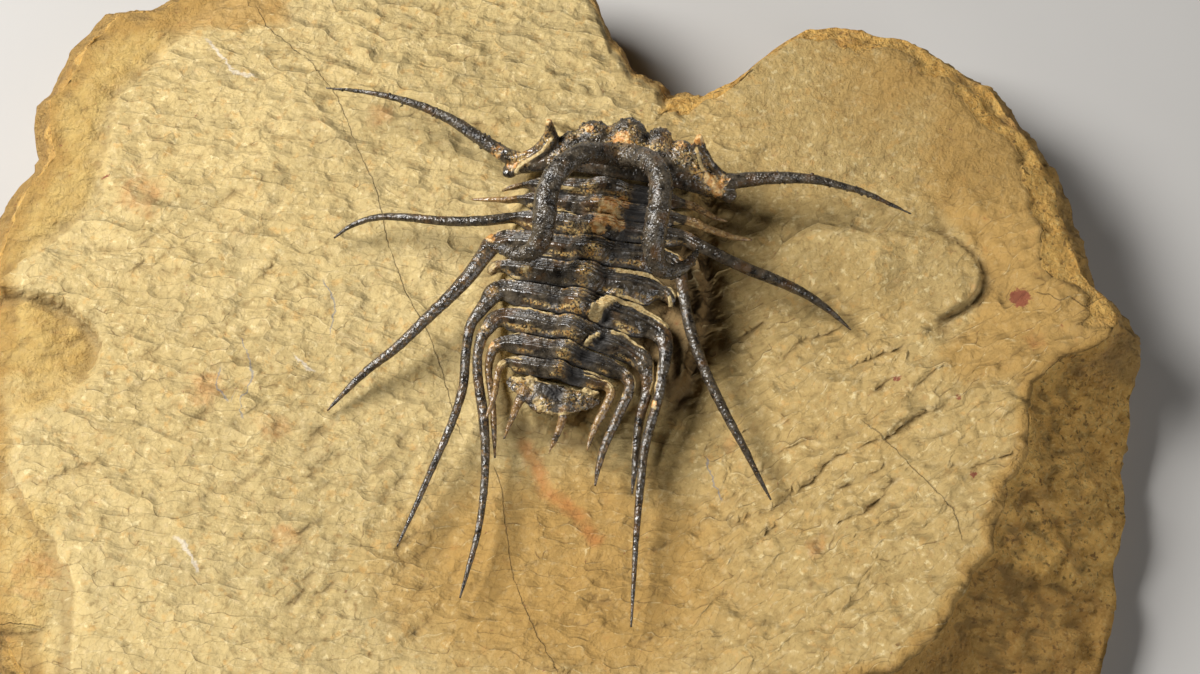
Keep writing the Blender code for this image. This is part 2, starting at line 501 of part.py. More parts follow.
def build_slab():
    """The loose slab: worked top, fractured sides and a flat underside to rest on."""
    outline = outline_table()
    last = SLAB_GRID - 1

    def rim_at(turn):
        degrees = math.degrees(turn)
        (reach,) = around(outline, degrees)
        inset, widest = around(SLAB_RIM, degrees)
        return reach, inset, widest

    points = []
    turns = {}
    for row in range(SLAB_GRID):
        for column in range(SLAB_GRID):
            radius, turn = disc_place(2 * column / last - 1, 2 * row / last - 1)
            reach, inset, _ = rim_at(turn)
            distance = radius**SLAB_GRID_CROWDING * (reach - inset)
            x = SLAB_MIDDLE[0] + distance * math.cos(turn)
            y = SLAB_MIDDLE[1] + distance * math.sin(turn)
            edge_drop = EDGE_DROP / (inset + 1) * ease((radius - EDGE_DROP_START) / (1 - EDGE_DROP_START))
            points.append((x, y, slab_surface(x, y) - edge_drop))
            turns[len(points) - 1] = turn
    faces = []
    for row in range(last):
        for column in range(last):
            corner = row * SLAB_GRID + column
            faces.append((corner, corner + 1, corner + 1 + SLAB_GRID, corner + SLAB_GRID))
    border = [column for column in range(SLAB_GRID)]
    border += [row * SLAB_GRID + last for row in range(1, SLAB_GRID)]
    border += [last * SLAB_GRID + column for column in range(last - 1, -1, -1)]
    border += [row * SLAB_GRID for row in range(last - 1, 0, -1)]

    def ring_of(setback_and_height):
        ring = []
        for corner in border:
            turn = turns[corner]
            reach, height = setback_and_height(turn, points[corner][2])
            around_x = math.cos(turn) * FRACTURE_LUMPS_AROUND
            around_y = math.sin(turn) * FRACTURE_LUMPS_AROUND
            spot = Vector((around_x, around_y, height * FRACTURE_LUMPS_DOWN))
            reach += FRACTURE_ROUGHNESS * noise.noise(spot)
            points.append(
                (SLAB_MIDDLE[0] + reach * math.cos(turn), SLAB_MIDDLE[1] + reach * math.sin(turn), height)
            )
            ring.append(len(points) - 1)
        return ring

    rings = [border]
    for out_share, drop_share in FRACTURE_STEPS:

        def fracture(turn, top, out_share=out_share, drop_share=drop_share):
            reach, inset, widest = rim_at(turn)
            return reach - inset * (1 - out_share), top + (widest - top) * drop_share

        rings.append(ring_of(fracture))
    for setback, height in LOWER_RINGS:

        def lower(turn, top, setback=setback, height=height):
            return rim_at(turn)[0] - setback, height

        rings.append(ring_of(lower))
    for upper, lower in zip(rings, rings[1:]):
        for index in range(len(border)):
            following = (index + 1) % len(border)
            faces.append((upper[index], lower[index], lower[following], upper[following]))
    points.append((*SLAB_MIDDLE, 0.0))
    middle = len(points) - 1
    bottom = rings[-1]
    for index in range(len(border)):
        faces.append((bottom[index], middle, bottom[(index + 1) % len(border)]))
    return make_object("matrix_slab", points, faces, LIMESTONE)


# The thorax
def lerp(start, end, share):
    """The point part of the way from start to end."""
    return np.array(start, float) + (np.array(end, float) - np.array(start, float)) * share


def pleura_reach(index, side, share):
    """Half widths ahead of and behind a segment's line, that leave a gap to its neighbours."""

    def place(number):
        if number < 0:
            return None
        if number == len(SEGMENTS):
            shift = np.array(PYGIDIUM_AXIS) - np.array(SEGMENTS[-1].axis)
            return place(number - 1) + shift
        shape = SEGMENTS[number]
        return lerp(shape.axis, shape.left_edge if side < 0 else shape.right_edge, share)

    here = place(index)
    shape = SEGMENTS[index]
    outwards = np.array(shape.left_edge if side < 0 else shape.right_edge) - np.array(shape.axis)
    ahead = np.array([outwards[1], -outwards[0], 0.0]) * (1 if side < 0 else -1)
    ahead /= np.linalg.norm(ahead)
    behind_width = float(np.dot(here - place(index + 1), ahead)) / 2
    front = place(index - 1)
    ahead_width = behind_width if front is None else float(np.dot(front - here, ahead)) / 2
    return ahead_width - SEGMENT_GAP / 2, behind_width - SEGMENT_GAP / 2


def segment_rows(index):
    """Rows of place, half width ahead, half width behind, radius and roundness, left tip to right tip."""
    shape = SEGMENTS[index]

    def half(side, edge, spine):
        rows = []
        for share, rise in THORAX_PROFILE:
            x, y, _ = lerp(shape.axis, edge, share)
            height = edge[2] + (shape.axis[2] - edge[2]) * rise
            front, rear = pleura_reach(index, side, share)
            rows.append((x, y, height, front, rear, spine[0][3], 0.0))
        front, rear = pleura_reach(index, side, 1.0)
        broad = 1.1 * spine[0][3]
        rows.append((*edge, min(front, broad), min(rear, broad), spine[0][3], BEND_ROUNDNESS[0]))
        for number, (x, y, z, wide) in enumerate(spine):
            rows.append((x, y, z, wide, wide, wide, BEND_ROUNDNESS[1] if number == 0 else 1.0))
        return rows

    left = half(-1, shape.left_edge, shape.left_spine)
    right = half(1, shape.right_edge, shape.right_spine)
    rows = left[:0:-1] + right
    pleura = len(THORAX_PROFILE) + 1
    steps = [SPINE_STEP] * (len(left) - pleura) + [PLEURA_STEP] * (2 * pleura) + [SPINE_STEP] * len(right)
    return smooth_rows(rows, steps)


def segment_section(row):
    """The ring of one row, between the flat pleura and the round spine."""
    ahead, behind, radius, roundness = row[3:7]
    roundness = min(1.0, max(0.0, roundness))
    rise = min(radius, SPINE_HEIGHT)
    section = []
    for (flat_across, flat_above), (round_across, round_above) in zip(PLEURA_SECTION, ROUND_SECTION):
        flat_across *= ahead if flat_across < 0 else behind
        across = flat_across * (1 - roundness) + round_across * radius * roundness
        above = flat_above * (1 - roundness) + round_above * rise * roundness
        section.append((across, above))
    return section


# The head and tail shields
def shield_section(thickness):
    """Sections of a shield plate: as wide as the row says, and thinner where it is narrow."""

    def section(row):
        half_width = row[3]
        lift = thickness * min(1.0, half_width / SHIELD_THINS_BELOW)
        return [(half_width * across, lift * above) for across, above in ROUND_SECTION]

    return section


def build_head():
    """The head shield with its lobes, eye stalks, genal spines and the two occipital horns."""
    rows = smooth_rows(HEAD_LINE, [HEAD_STEP] * len(HEAD_LINE))
    shield = sweep("cephalon", rows, shield_section(HEAD_THICKNESS), FOSSIL_SHELL)
    extras = [lobe_solid("lobe", centre, half_sizes) for centre, half_sizes in HEAD_LOBES]
    extras += [spine_solid("eye_stalk", points, EYE_STEP, EYE_RADII) for points in EYE_STALKS]
    extras += [spine_solid("genal_spine", points, SPINE_STEP, GENAL_RADII) for points in GENAL_SPINES]
    horns = smooth_rows(OCCIPITAL_HORNS, [HORN_STEP] * len(OCCIPITAL_HORNS))
    extras.append(sweep("occipital_horns", horns, round_section, FOSSIL_SHELL))
    return fuse(shield, extras)


def build_tail():
    """The tail shield with its axial lobe and its pair of spines."""
    rows = smooth_rows(TAIL_LINE, [TAIL_STEP] * len(TAIL_LINE))
    shield = sweep("pygidium", rows, shield_section(TAIL_THICKNESS), FOSSIL_SHELL)
    extras = [lobe_solid("axial_lobe", *TAIL_LOBE)]
    extras += [spine_solid("tail_spine", points, SPINE_STEP) for points in TAIL_SPINES]
    return fuse(shield, extras)


build_slab()
build_head()
for number in range(len(SEGMENTS)):
    sweep("thorax_segment_%d" % (number + 1), segment_rows(number), segment_section, FOSSIL_SHELL)
build_tail()
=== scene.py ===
"""A black, spiny dicranurus trilobite that lies on its loose slab of tan limestone.

Places are in millimetres, measured on the slab's top as in a plan, and become metres in the
frame's own axes as each mesh is made. +Z is up and the head points towards +Y.
"""

import math
from collections import namedtuple

import bmesh
import bpy
import numpy as np
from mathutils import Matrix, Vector, noise


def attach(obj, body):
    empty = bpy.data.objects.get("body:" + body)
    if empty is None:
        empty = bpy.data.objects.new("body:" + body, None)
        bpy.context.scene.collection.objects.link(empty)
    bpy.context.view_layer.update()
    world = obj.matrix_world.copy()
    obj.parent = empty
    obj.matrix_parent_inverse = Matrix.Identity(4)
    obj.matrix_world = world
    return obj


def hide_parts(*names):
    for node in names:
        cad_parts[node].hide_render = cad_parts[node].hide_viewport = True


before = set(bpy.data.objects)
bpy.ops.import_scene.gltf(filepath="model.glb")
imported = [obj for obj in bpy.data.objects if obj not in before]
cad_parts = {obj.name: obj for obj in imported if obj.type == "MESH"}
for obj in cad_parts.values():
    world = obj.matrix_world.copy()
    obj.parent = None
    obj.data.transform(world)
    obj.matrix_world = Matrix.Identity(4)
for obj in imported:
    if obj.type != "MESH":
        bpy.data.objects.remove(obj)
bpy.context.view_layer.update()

# The limestone slab
# A loose slab of hard tan limestone. The animal was freed from it with an air pen, whose small
# scoops cover the top. The sides and the lower right are broken rock, and the underside is flat.
MM = 0.001
ORIGIN = np.array((-0.2, 5.4, 0.0))
SLAB_TOP = 24.0
SLAB_MIDDLE = (5.0, 14.0)
SLAB_GRID = 281
TOP_SHARE = 0.84
NET_CLOSENESS = 1.04
RIM_NOISE_REACH = 90
LOW_RINGS = 16
LOW_EDGE = 3.5
# Share of the way down from the rim, setback in mm, and 1 for the rim, 0 for the low edge, -1 below
LOW_PROFILE = np.array([(0.0, 0.0, 1.0), (0.65, 0.8, 0.0), (1.0, 4.0, -1.0)])

SLAB_OUTLINE = [
    (91.5, 17.0), (88.5, 27.0), (87.0, 33.0), (84.5, 38.0), (79.5, 46.0), (76.5, 50.5),
    (70.5, 55.5), (60.5, 60.5), (49.5, 63.0), (44.0, 63.0), (38.5, 59.5), (34.0, 55.5),
    (31.0, 53.0), (25.5, 51.0), (19.5, 51.0), (13.5, 55.0), (9.0, 61.0), (6.5, 68.0),
    (3.5, 72.0), (-22.5, 75.0), (-40.0, 75.0), (-57.0, 73.0), (-72.5, 67.0), (-79.0, 67.0),
    (-85.0, 60.5), (-87.0, 53.0), (-89.5, 49.5), (-89.0, 39.0), (-94.5, 32.0), (-97.5, 20.5),
    (-98.5, 8.5), (-98.0, -4.0), (-96.0, -16.0), (-97.0, -31.5), (-94.5, -46.5), (-86.0, -57.0),
    (-70.5, -60.0), (-45.5, -62.5), (-19.0, -64.0), (7.0, -63.0), (33.5, -64.0), (56.0, -63.0),
    (74.5, -60.0), (85.5, -55.5), (90.0, -48.5), (92.5, -42.0), (93.5, -29.0), (95.0, -19.5),
    (94.5, -14.5), (95.5, -8.0), (98.5, 2.5), (98.5, 7.0), (96.0, 12.0),
]
# Direction in degrees, how far the top edge is set back there, and the height of the widest line
SLAB_RIM = [
    (-180, 5.0, 14.0), (-150, 4.0, 14.0), (-120, 4.0, 13.0), (-100, 5.0, 12.0), (-80, 8.0, 10.0),
    (-60, 12.0, 8.0), (-53, 14.0, 7.5), (-47, 19.5, 7.0), (-42, 25.5, 7.0), (-38, 27.0, 7.0),
    (-35, 25.0, 7.0), (-31, 25.5, 7.0), (-26, 22.0, 7.0), (-21, 20.0, 7.0), (-16, 19.0, 7.0),
    (-13, 19.0, 7.0), (-9, 14.0, 7.5), (-7, 8.5, 8.0), (-3, 5.0, 10.0), (3, 4.0, 12.0),
    (30, 3.0, 14.0), (60, 2.5, 15.0), (90, 3.0, 15.0), (140, 4.0, 14.0), (160, 4.0, 14.0),
    (180, 5.0, 14.0),
]
# Share of the way from the top edge out to the widest line, and share of the drop
FRACTURE_STEPS = [(0.0, 0.0), (0.27, 0.32), (0.62, 0.60), (1.0, 1.0)]

# The animal's own directions, and along its axis the half width, flank height and rise of its mound
BODY_MIDDLE = (5.0, 12.0)
BODY_TURN = math.radians(14.2)
PEDESTAL = np.array([
    (-22.0, 5.0, 28.7, 0.4), (-18.0, 7.6, 29.4, 0.9), (-13.0, 9.3, 30.2, 1.9), (-8.0, 11.0, 30.6, 2.6),
    (-3.0, 12.2, 30.8, 2.8), (2.0, 13.0, 31.0, 2.9), (8.0, 13.2, 31.2, 2.8), (15.0, 13.0, 31.2, 2.3),
    (20.0, 12.0, 30.8, 1.6), (24.0, 10.0, 30.2, 0.6),
])
PEDESTAL_SLOPE = 4.2
# The mound's right shoulder, which ends in a steep wall: wall line, shoulder width and height
SHOULDER_WALL = [
    (22.6, 24.5), (24.0, 21.0), (25.0, 15.0), (25.0, 9.0),
    (23.6, 2.0), (21.4, -5.0), (18.0, -11.0),
]
SHOULDER_WIDTH = 9.0
SHOULDER_HEIGHT = 29.7

# Broad rises and hollows of the top: middle, reach across and along, and height
TOP_SWELLS = [
    ((-20, -28), (16, 14), -1.3), ((29.5, 13), (6.5, 15), -2.2), ((60, -6), (26, 20), 0.9),
    ((-52, 34), (34, 22), 1.0), ((-52, -22), (34, 18), 0.9), ((-78, 62), (16, 14), -3.0),
]
# The scoop in the left side, the swelling right of the animal and the tongue beyond it: middle, sizes
SCOOP = ((-94.0, 1.5), (18.5, 12.6))
SWELLING = ((46.5, 17.5), (12.5, 7.4))
TONGUE = ((58.0, 15.5), (12.2, 7.8))
# Where the top's skin is broken off at the upper left, and flaked at the upper right
LEFT_BREAK = [(-52, 70), (-64, 61), (-70, 55), (-76, 48), (-77, 39), (-78, 29), (-88, 20)]
RIGHT_FLAKE = [(60, 62), (66, 53), (72, 45), (80, 40), (82, 30), (85, 22), (90, 16)]

STROKE_TILES = 64
STROKE_SEED = 5
# Pen strokes: middle and reach of an area, then direction in degrees, length, width and depth
PEN_AREAS = [
    ((50.0, -14.0), (34.0, 27.0), 32.0, 9.0, 3.9, 0.95),
    ((-36.0, 50.0), (34.0, 18.0), -24.0, 4.2, 2.8, 0.75),
    ((10.0, -38.0), (28.0, 18.0), -4.0, 6.5, 3.0, 0.8),
    ((-35.0, -28.0), (19.0, 21.0), 52.0, 5.0, 3.0, 0.8),
    ((-62.0, 4.0), (30.0, 36.0), 18.0, 6.0, 3.8, 0.75),
    ((40.0, 38.0), (36.0, 18.0), 24.0, 8.0, 4.2, 0.5),
]

# Thin marks on the top, as plan points
CRACKS = [
    [(-52.1, 65.0), (-49.7, 60.2), (-41.9, 53.4), (-37.5, 47.5), (-33.6, 37.6), (-30.2, 29.9), (-28.4, 20.8),
     (-25.3, 12.5), (-21.5, 5.5), (-19.3, -0.5), (-16.7, -9.7), (-15.0, -13.8)],
    [(-10.5, -17.0), (-9.0, -21.1), (-8.3, -28.0), (-7.1, -36.3), (-4.1, -43.7), (0.6, -52.5)],
    [(49.7, -9.5), (53.9, -13.3), (58.7, -18.4), (61.9, -21.8), (64.6, -25.0), (66.2, -30.6)],
    [(79.5, 12.6), (82.0, 12.0), (83.5, 11.1), (85.2, 11.8),
     (86.8, 10.6), (87.6, 10.1), (88.8, 11.1), (91.5, 12.6)],
    [(-92.0, -43.8), (-88.0, -43.2), (-83.6, -44.1)],
    [(71.0, 44.0), (74.0, 45.2), (77.0, 43.2)],
]
GREY_VEINS = [
    [(-52.6, 4.8), (-50.8, 0.5), (-50.4, -3.0), (-52.3, -6.4), (-51.7, -9.9)],
    [(-39.3, 14.5), (-37.0, 11.0), (-37.7, 4.8)],
    [(-55.8, -0.4), (-56.3, -3.8), (-54.2, -6.8)],
    [(24.2, -15.8), (25.3, -19.2), (26.9, -23.5)],
]
WHITE_STREAKS = [
    [(-60.3, 58.1), (-57.2, 54.7), (-55.4, 52.1), (-51.2, 51.0)],
    [(-62.1, -30.1), (-60.6, -31.0), (-59.4, -33.2), (-58.1, -35.9)],
    [(-43.5, 1.5), (-41.5, -0.8), (-40.2, -1.4)],
]
STAIN = [(-5.6, -13.8), (-3.3, -17.4), (-1.7, -21.8), (1.1, -23.8), (3.4, -26.0), (6.3, -30.1)]
RED_SPOTS = [
    (77.0, 11.8, 1.7), (68.0, -19.0, 0.6), (66.0, -6.0, 0.4),
    (56.0, -3.0, 0.5), (-76.0, 33.0, 0.5),
]
ORANGE_SPOTS = [
    (-30.0, 44.0, 2.6), (-47.0, -11.0, 3.0), (-70.0, 30.0, 5.0), (-58.0, -4.0, 4.0), (79.0, 4.0, 2.0),
    (-85.0, -36.0, 5.0), (42.0, -31.0, 2.2), (28.0, -14.0, 1.6), (-44.0, -30.0, 3.0),
]


def ease(value):
    """A smooth step from 0 to 1."""
    value = np.clip(value, 0.0, 1.0)
    return value * value * (3 - 2 * value)


def lumpy(points, size, octaves=3):
    """Fractal unevenness at each point, about -1 to 1, in lumps of the given size in mm."""
    return np.array([noise.fractal(Vector(point) / size, 0.9, 2.1, octaves) for point in points.tolist()])


def level_points(x, y):
    """Points in space at height 0."""
    return np.column_stack((x, y, np.zeros(x.shape)))


def mound(x, y, middle, sizes, height):
    """A smooth round rise, or a hollow where the height is below zero."""
    return height * np.exp(-(((x - middle[0]) / sizes[0]) ** 2) - ((y - middle[1]) / sizes[1]) ** 2)


def oval(x, y, shape):
    """Distance from the middle of an oval, as a share of the way out to its edge."""
    middle, sizes = shape
    return np.hypot((x - middle[0]) / sizes[0], (y - middle[1]) / sizes[1])


def line_distance(x, y, line):
    """Distance in mm to a line of points, below zero on its right, and the share of the way along it."""
    line = np.array(line, float)
    lengths = np.linalg.norm(np.diff(line, axis=0), axis=1)
    runs = np.concatenate([[0.0], np.cumsum(lengths)])
    nearest = np.full(x.shape, 1e6)
    share = np.zeros(x.shape)
    for start, end, length, run in zip(line, line[1:], lengths, runs):
        along_x, along_y = (end - start) / length
        run_here = np.clip((x - start[0]) * along_x + (y - start[1]) * along_y, 0.0, length)
        off_x = x - start[0] - run_here * along_x
        off_y = y - start[1] - run_here * along_y
        distance = np.hypot(off_x, off_y)
        side = np.where(along_x * off_y - along_y * off_x < 0, -1.0, 1.0)
        nearer = distance < np.abs(nearest)
        nearest = np.where(nearer, distance * side, nearest)
        share = np.where(nearer, (run + run_here) / runs[-1], share)
    return nearest, share


def thin_marks(x, y, lines):
    """For a family of thin marks: the signed distance to the nearest, and how strongly it shows."""
    nearest = np.full(x.shape, 9.0)
    shows = np.zeros(x.shape)
    for line in lines:
        distance, share = line_distance(x, y, line)
        strength = ease(share / 0.04) * ease((1 - share) / 0.04) * ease((1.6 - np.abs(distance)) / 0.5)
        nearer = np.abs(distance) < np.abs(nearest)
        nearest = np.where(nearer, distance, nearest)
        shows = np.where(nearer, strength, shows)
    return np.column_stack((nearest, shows, np.zeros(x.shape)))


def pen_strokes(x, y, direction, length, width):
    """Tilted facets, as an air pen leaves them: each rises across its width and ends in a step."""
    turn = math.radians(direction)
    along = (x * math.cos(turn) + y * math.sin(turn)) / length
    across = (y * math.cos(turn) - x * math.sin(turn)) / width
    spots = np.random.default_rng(STROKE_SEED).random((STROKE_TILES, STROKE_TILES, 3))
    nearest = np.full(x.shape, 9.0)
    height = np.zeros(x.shape)
    for column_step in (-1, 0, 1):
        for row_step in (-1, 0, 1):
            column = np.floor(along).astype(int) + column_step
            row = np.floor(across).astype(int) + row_step
            spot = spots[column % STROKE_TILES, row % STROKE_TILES]
            away_along = along - column - spot[:, 0]
            away_across = across - row - spot[:, 1]
            distance = away_along**2 + away_across**2
            nearer = distance < nearest
            nearest = np.where(nearer, distance, nearest)
            height = np.where(nearer, -away_across * (0.3 + 1.1 * spot[:, 2]), height)
    return height


def worked_top(x, y):
    """Height of the worked top of the slab, without its fine grain."""
    flat = level_points(x, y)
    height = SLAB_TOP + 0.7 * np.sin(x / 29 + 1.1) * np.sin(y / 21 + 0.4)
    for middle, sizes, rise in TOP_SWELLS:
        height += mound(x, y, middle, sizes, rise)
    height += 0.35 * lumpy(flat, 14.0) + 0.12 * lumpy(flat + 40.0, 3.0)
    # Rounded scoop in the left side, whose upper edge is a sharp ledge
    wobble = 0.06 * lumpy(flat + 7.0, 5.0)
    scoop = oval(x, y, SCOOP) + wobble
    floor = 0.7 * lumpy(flat + 25.0, 4.0, 4) + 0.9 * lumpy(flat - 25.0, 11.0, 2)
    height -= (1.6 + 2.8 * ease((y + 9) / 15) + floor) * ease((1 - scoop) / (0.06 + 0.3 * ease((4 - y) / 10)))
    # Broken lower left corner
    corner = (-83 - x) * 0.75 + (-27 - y) * 0.5 + 14 * wobble
    height -= 2.6 * ease(corner / 1.6) * ease((-76 - x) / 4)
    height -= 1.6 * ease((-43.6 - y) / 1.0 + 6 * wobble) * ease((-80 - x) / 6)
    # Smooth swelling to the right of the fossil, and the low tongue beyond it with a sharp round end
    height += 0.9 * ease((1.0 - oval(x, y, SWELLING)) / 0.35)
    tongue = oval(x, y, TONGUE) + 0.7 * wobble
    height += 0.5 * ease((1.0 - tongue) / 0.3)
    height -= 1.5 * ease((tongue - 1.0) / 0.09) * ease((x - 60) / 5) * ease((2.0 - tongue) / 0.8)
    # Upper left corner: its skin is broken off down to rough ochre rock
    broken_left = line_distance(x, y, LEFT_BREAK)[0]
    broken_left = ease((-broken_left + 2 + 8 * wobble) / 1.5) * ease((-x - 50) / 6)
    height -= broken_left * (0.8 + 0.6 * lumpy(flat + 60.0, 3.5, 4))
    # Upper right edge: thin flakes are lost from it
    flake = line_distance(x, y, RIGHT_FLAKE)[0]
    height -= 0.8 * ease((flake - 0.4 + 6 * wobble) / 0.9) * ease((x - 58) / 8) * ease((y - 8) / 8)
    for middle, reach, direction, length, width, depth in PEN_AREAS:
        share = np.exp(-(((x - middle[0]) / reach[0]) ** 4) - ((y - middle[1]) / reach[1]) ** 4)
        patchy = ease(0.55 + 0.9 * lumpy(flat + middle[0], 9.0, 2))
        drift = 0.9 * lumpy(flat + middle[1], 6.0, 2)
        height += depth * share * patchy * pen_strokes(x + drift, y + drift, direction, length, width)
    # The low mound that the animal lies on
    across = x - BODY_MIDDLE[0]
    along = y - BODY_MIDDLE[1]
    right = across * math.cos(BODY_TURN) - along * math.sin(BODY_TURN)
    ahead = across * math.sin(BODY_TURN) + along * math.cos(BODY_TURN)
    half, flank, rise = (np.interp(ahead, PEDESTAL[:, 0], PEDESTAL[:, column]) for column in (1, 2, 3))
    outside = np.maximum(np.abs(right) - half, np.maximum(ahead - PEDESTAL[-1, 0], PEDESTAL[0, 0] - ahead))
    plateau = flank + rise * np.maximum(0.0, 1 - (right / half) ** 2)
    share = 1 - ease((outside + 0.5 * lumpy(flat, 2.5)) / PEDESTAL_SLOPE)
    height = height + (plateau - height) * share
    wall, way = line_distance(x, y, SHOULDER_WALL)
    inside = -wall + 0.7 * lumpy(flat + 70.0, 3.0)
    shoulder = ease(inside / 1.7) * ease((SHOULDER_WIDTH - inside) / 3)
    shoulder = shoulder * ease(way / 0.1) * ease((1 - way) / 0.25)
    return np.maximum(height, height + (SHOULDER_HEIGHT + 0.3 * lumpy(flat, 4.0) - height) * shoulder)


def paint(mesh, name, values):
    """Keeps one value, or one vector, for each corner of the mesh, for its material to read."""
    values = np.asarray(values, np.float32)
    kind, slot = ("FLOAT", "value") if values.ndim == 1 else ("FLOAT_VECTOR", "vector")
    mesh.attributes.new(name, kind, "POINT").data.foreach_set(slot, values.ravel())


def placed(name, data):
    """A new object of the scene that shows some data."""
    made = bpy.data.objects.new(name, data)
    bpy.context.scene.collection.objects.link(made)
    return made


def mesh_piece(name, points, faces, material):
    """One piece from plan points in mm, with its faces turned outwards."""
    mesh = bpy.data.meshes.new(name)
    mesh.from_pydata(((np.asarray(points) - ORIGIN) * MM).tolist(), [], faces)
    shape = bmesh.new()
    shape.from_mesh(mesh)
    bmesh.ops.recalc_face_normals(shape, faces=shape.faces)
    shape.to_mesh(mesh)
    shape.free()
    mesh.shade_smooth()
    mesh.materials.append(material)
    return placed(name, mesh)


def put(tree, kind, inputs=None, **settings):
    """Adds one shader node with its settings, and a number, colour or link for each named input."""
    made = tree.nodes.new(kind)
    for name, value in settings.items():
        setattr(made, name, value)
    for name, value in (inputs or {}).items():
        if isinstance(value, bpy.types.NodeSocket):
            tree.links.new(value, made.inputs[name])
        else:
            made.inputs[name].default_value = value
    return made


def new_material(name):
    """A material, its node tree and main shader, and the place on the object."""
    material = bpy.data.materials.new(name)
    material.use_nodes = True
    tree = material.node_tree
    place = put(tree, "ShaderNodeTexCoord").outputs["Object"]
    return material, tree, tree.nodes["Principled BSDF"], place


def calculate(tree, operation, *values):
    """The result of one piece of arithmetic on numbers or links."""
    return put(tree, "ShaderNodeMath", dict(enumerate(values)), operation=operation).outputs[0]


def graded(tree, value, low, high, bottom=0.0, top=1.0):
    """The value stretched from the range low to high onto bottom to top, and held there."""
    inputs = {"Value": value, "From Min": low, "From Max": high, "To Min": bottom, "To Max": top}
    return put(tree, "ShaderNodeMapRange", inputs).outputs["Result"]


def tinted(tree, share, first, second):
    """A colour part of the way from the first to the second, each a link or red, green and blue."""
    inputs = {0: share}
    for slot, colour in ((6, first), (7, second)):
        inputs[slot] = colour if isinstance(colour, bpy.types.NodeSocket) else (*colour, 1.0)
    return put(tree, "ShaderNodeMix", inputs, data_type="RGBA").outputs[2]


def times(tree, value, factor):
    """The value times a factor."""
    return calculate(tree, "MULTIPLY", value, factor)


def cloudy(tree, place, size, detail=3.0, roughness=0.55):
    """Cloud-like variation from 0 to 1, in patches of about the given size in mm."""
    inputs = {"Vector": place, "Scale": 1000 / size, "Detail": detail, "Roughness": roughness}
    return put(tree, "ShaderNodeTexNoise", inputs).outputs[0]


def mottled(tree, place, first, second, size, low, high, most=1.0, detail=3.0):
    """The first colour with patches of the second, of about the given size in mm."""
    return tinted(tree, graded(tree, cloudy(tree, place, size, detail), low, high, 0.0, most), first, second)


def kept(tree, name):
    """The value that the mesh keeps under a name."""
    return put(tree, "ShaderNodeAttribute", attribute_name=name).outputs["Fac"]


def group_tree(name, inputs, outputs):
    """An empty shader group with named inputs and outputs, and its two end nodes."""
    tree = bpy.data.node_groups.new(name, "ShaderNodeTree")
    for label, kind, value in inputs:
        socket = tree.interface.new_socket(label, in_out="INPUT", socket_type=kind)
        if value is not None:
            socket.default_value = value
    for label, kind in outputs:
        tree.interface.new_socket(label, in_out="OUTPUT", socket_type=kind)
    return tree, tree.nodes.new("NodeGroupInput").outputs, tree.nodes.new("NodeGroupOutput").inputs


def use_group(tree, group, inputs):
    """Places a shader group in a material, with its own values."""
    return put(tree, "ShaderNodeGroup", inputs, node_tree=group).outputs


def broken_edge_group():
    """Breaks the soft edge of a mask up into a ragged one."""
    tree, given, result = group_tree(
        "broken_edge",
        [("Mask", "NodeSocketFloat", 0.0), ("Place", "NodeSocketVector", None),
         ("Scale", "NodeSocketFloat", 1000.0), ("Raggedness", "NodeSocketFloat", 0.7),
         ("Softness", "NodeSocketFloat", 0.15)],
        [("Mask", "NodeSocketFloat")],
    )
    inputs = {"Vector": given["Place"], "Scale": given["Scale"], "Detail": 4.0, "Roughness": 0.6}
    cloud = put(tree, "ShaderNodeTexNoise", inputs).outputs[0]
    lift = times(tree, calculate(tree, "SUBTRACT", cloud, 0.5), given["Raggedness"])
    ragged = calculate(tree, "ADD", given["Mask"], lift)
    low = calculate(tree, "SUBTRACT", 0.5, given["Softness"])
    high = calculate(tree, "ADD", 0.5, given["Softness"])
    tree.links.new(graded(tree, ragged, low, high), result["Mask"])
    return tree


def thin_line_group():
    """Draws a thin wavering line where a kept distance in mm is near zero."""
    tree, given, result = group_tree(
        "thin_line",
        [("Mark", "NodeSocketVector", None), ("Place", "NodeSocketVector", None),
         ("Width", "NodeSocketFloat", 0.2), ("Waver", "NodeSocketFloat", 0.4)],
        [("Mask", "NodeSocketFloat")],
    )
    mark = put(tree, "ShaderNodeSeparateXYZ", {0: given["Mark"]}).outputs
    sway = times(tree, calculate(tree, "SUBTRACT", cloudy(tree, given["Place"], 1.6), 0.5), 2.0)
    distance = calculate(tree, "ADD", mark[0], times(tree, sway, given["Waver"]))
    distance = calculate(tree, "ABSOLUTE", distance)
    patchy = graded(tree, cloudy(tree, given["Place"], 2.6), 0.32, 0.6, 0.35, 1.0)
    width = times(tree, given["Width"], patchy)
    line = graded(tree, distance, width, times(tree, width, 0.3))
    tree.links.new(times(tree, line, mark[1]), result["Mask"])
    return tree


def stone_grain_group():
    """Grain of broken or worked stone: a height for bumps, and pale and dark flecks."""
    tree, given, result = group_tree(
        "stone_grain",
        [("Place", "NodeSocketVector", None), ("Grain Scale", "NodeSocketFloat", 1400.0)],
        [("Height", "NodeSocketFloat"), ("Fleck", "NodeSocketFloat")],
    )
    scale = given["Grain Scale"]
    inputs = {"Vector": given["Place"], "Scale": scale, "Detail": 6.0, "Roughness": 0.62}
    grain = put(tree, "ShaderNodeTexNoise", inputs).outputs[0]
    tree.links.new(grain, result["Height"])
    inputs = {"Vector": given["Place"], "Scale": times(tree, scale, 0.45), "Detail": 5.0}
    tree.links.new(put(tree, "ShaderNodeTexNoise", inputs).outputs[0], result["Fleck"])
    return tree


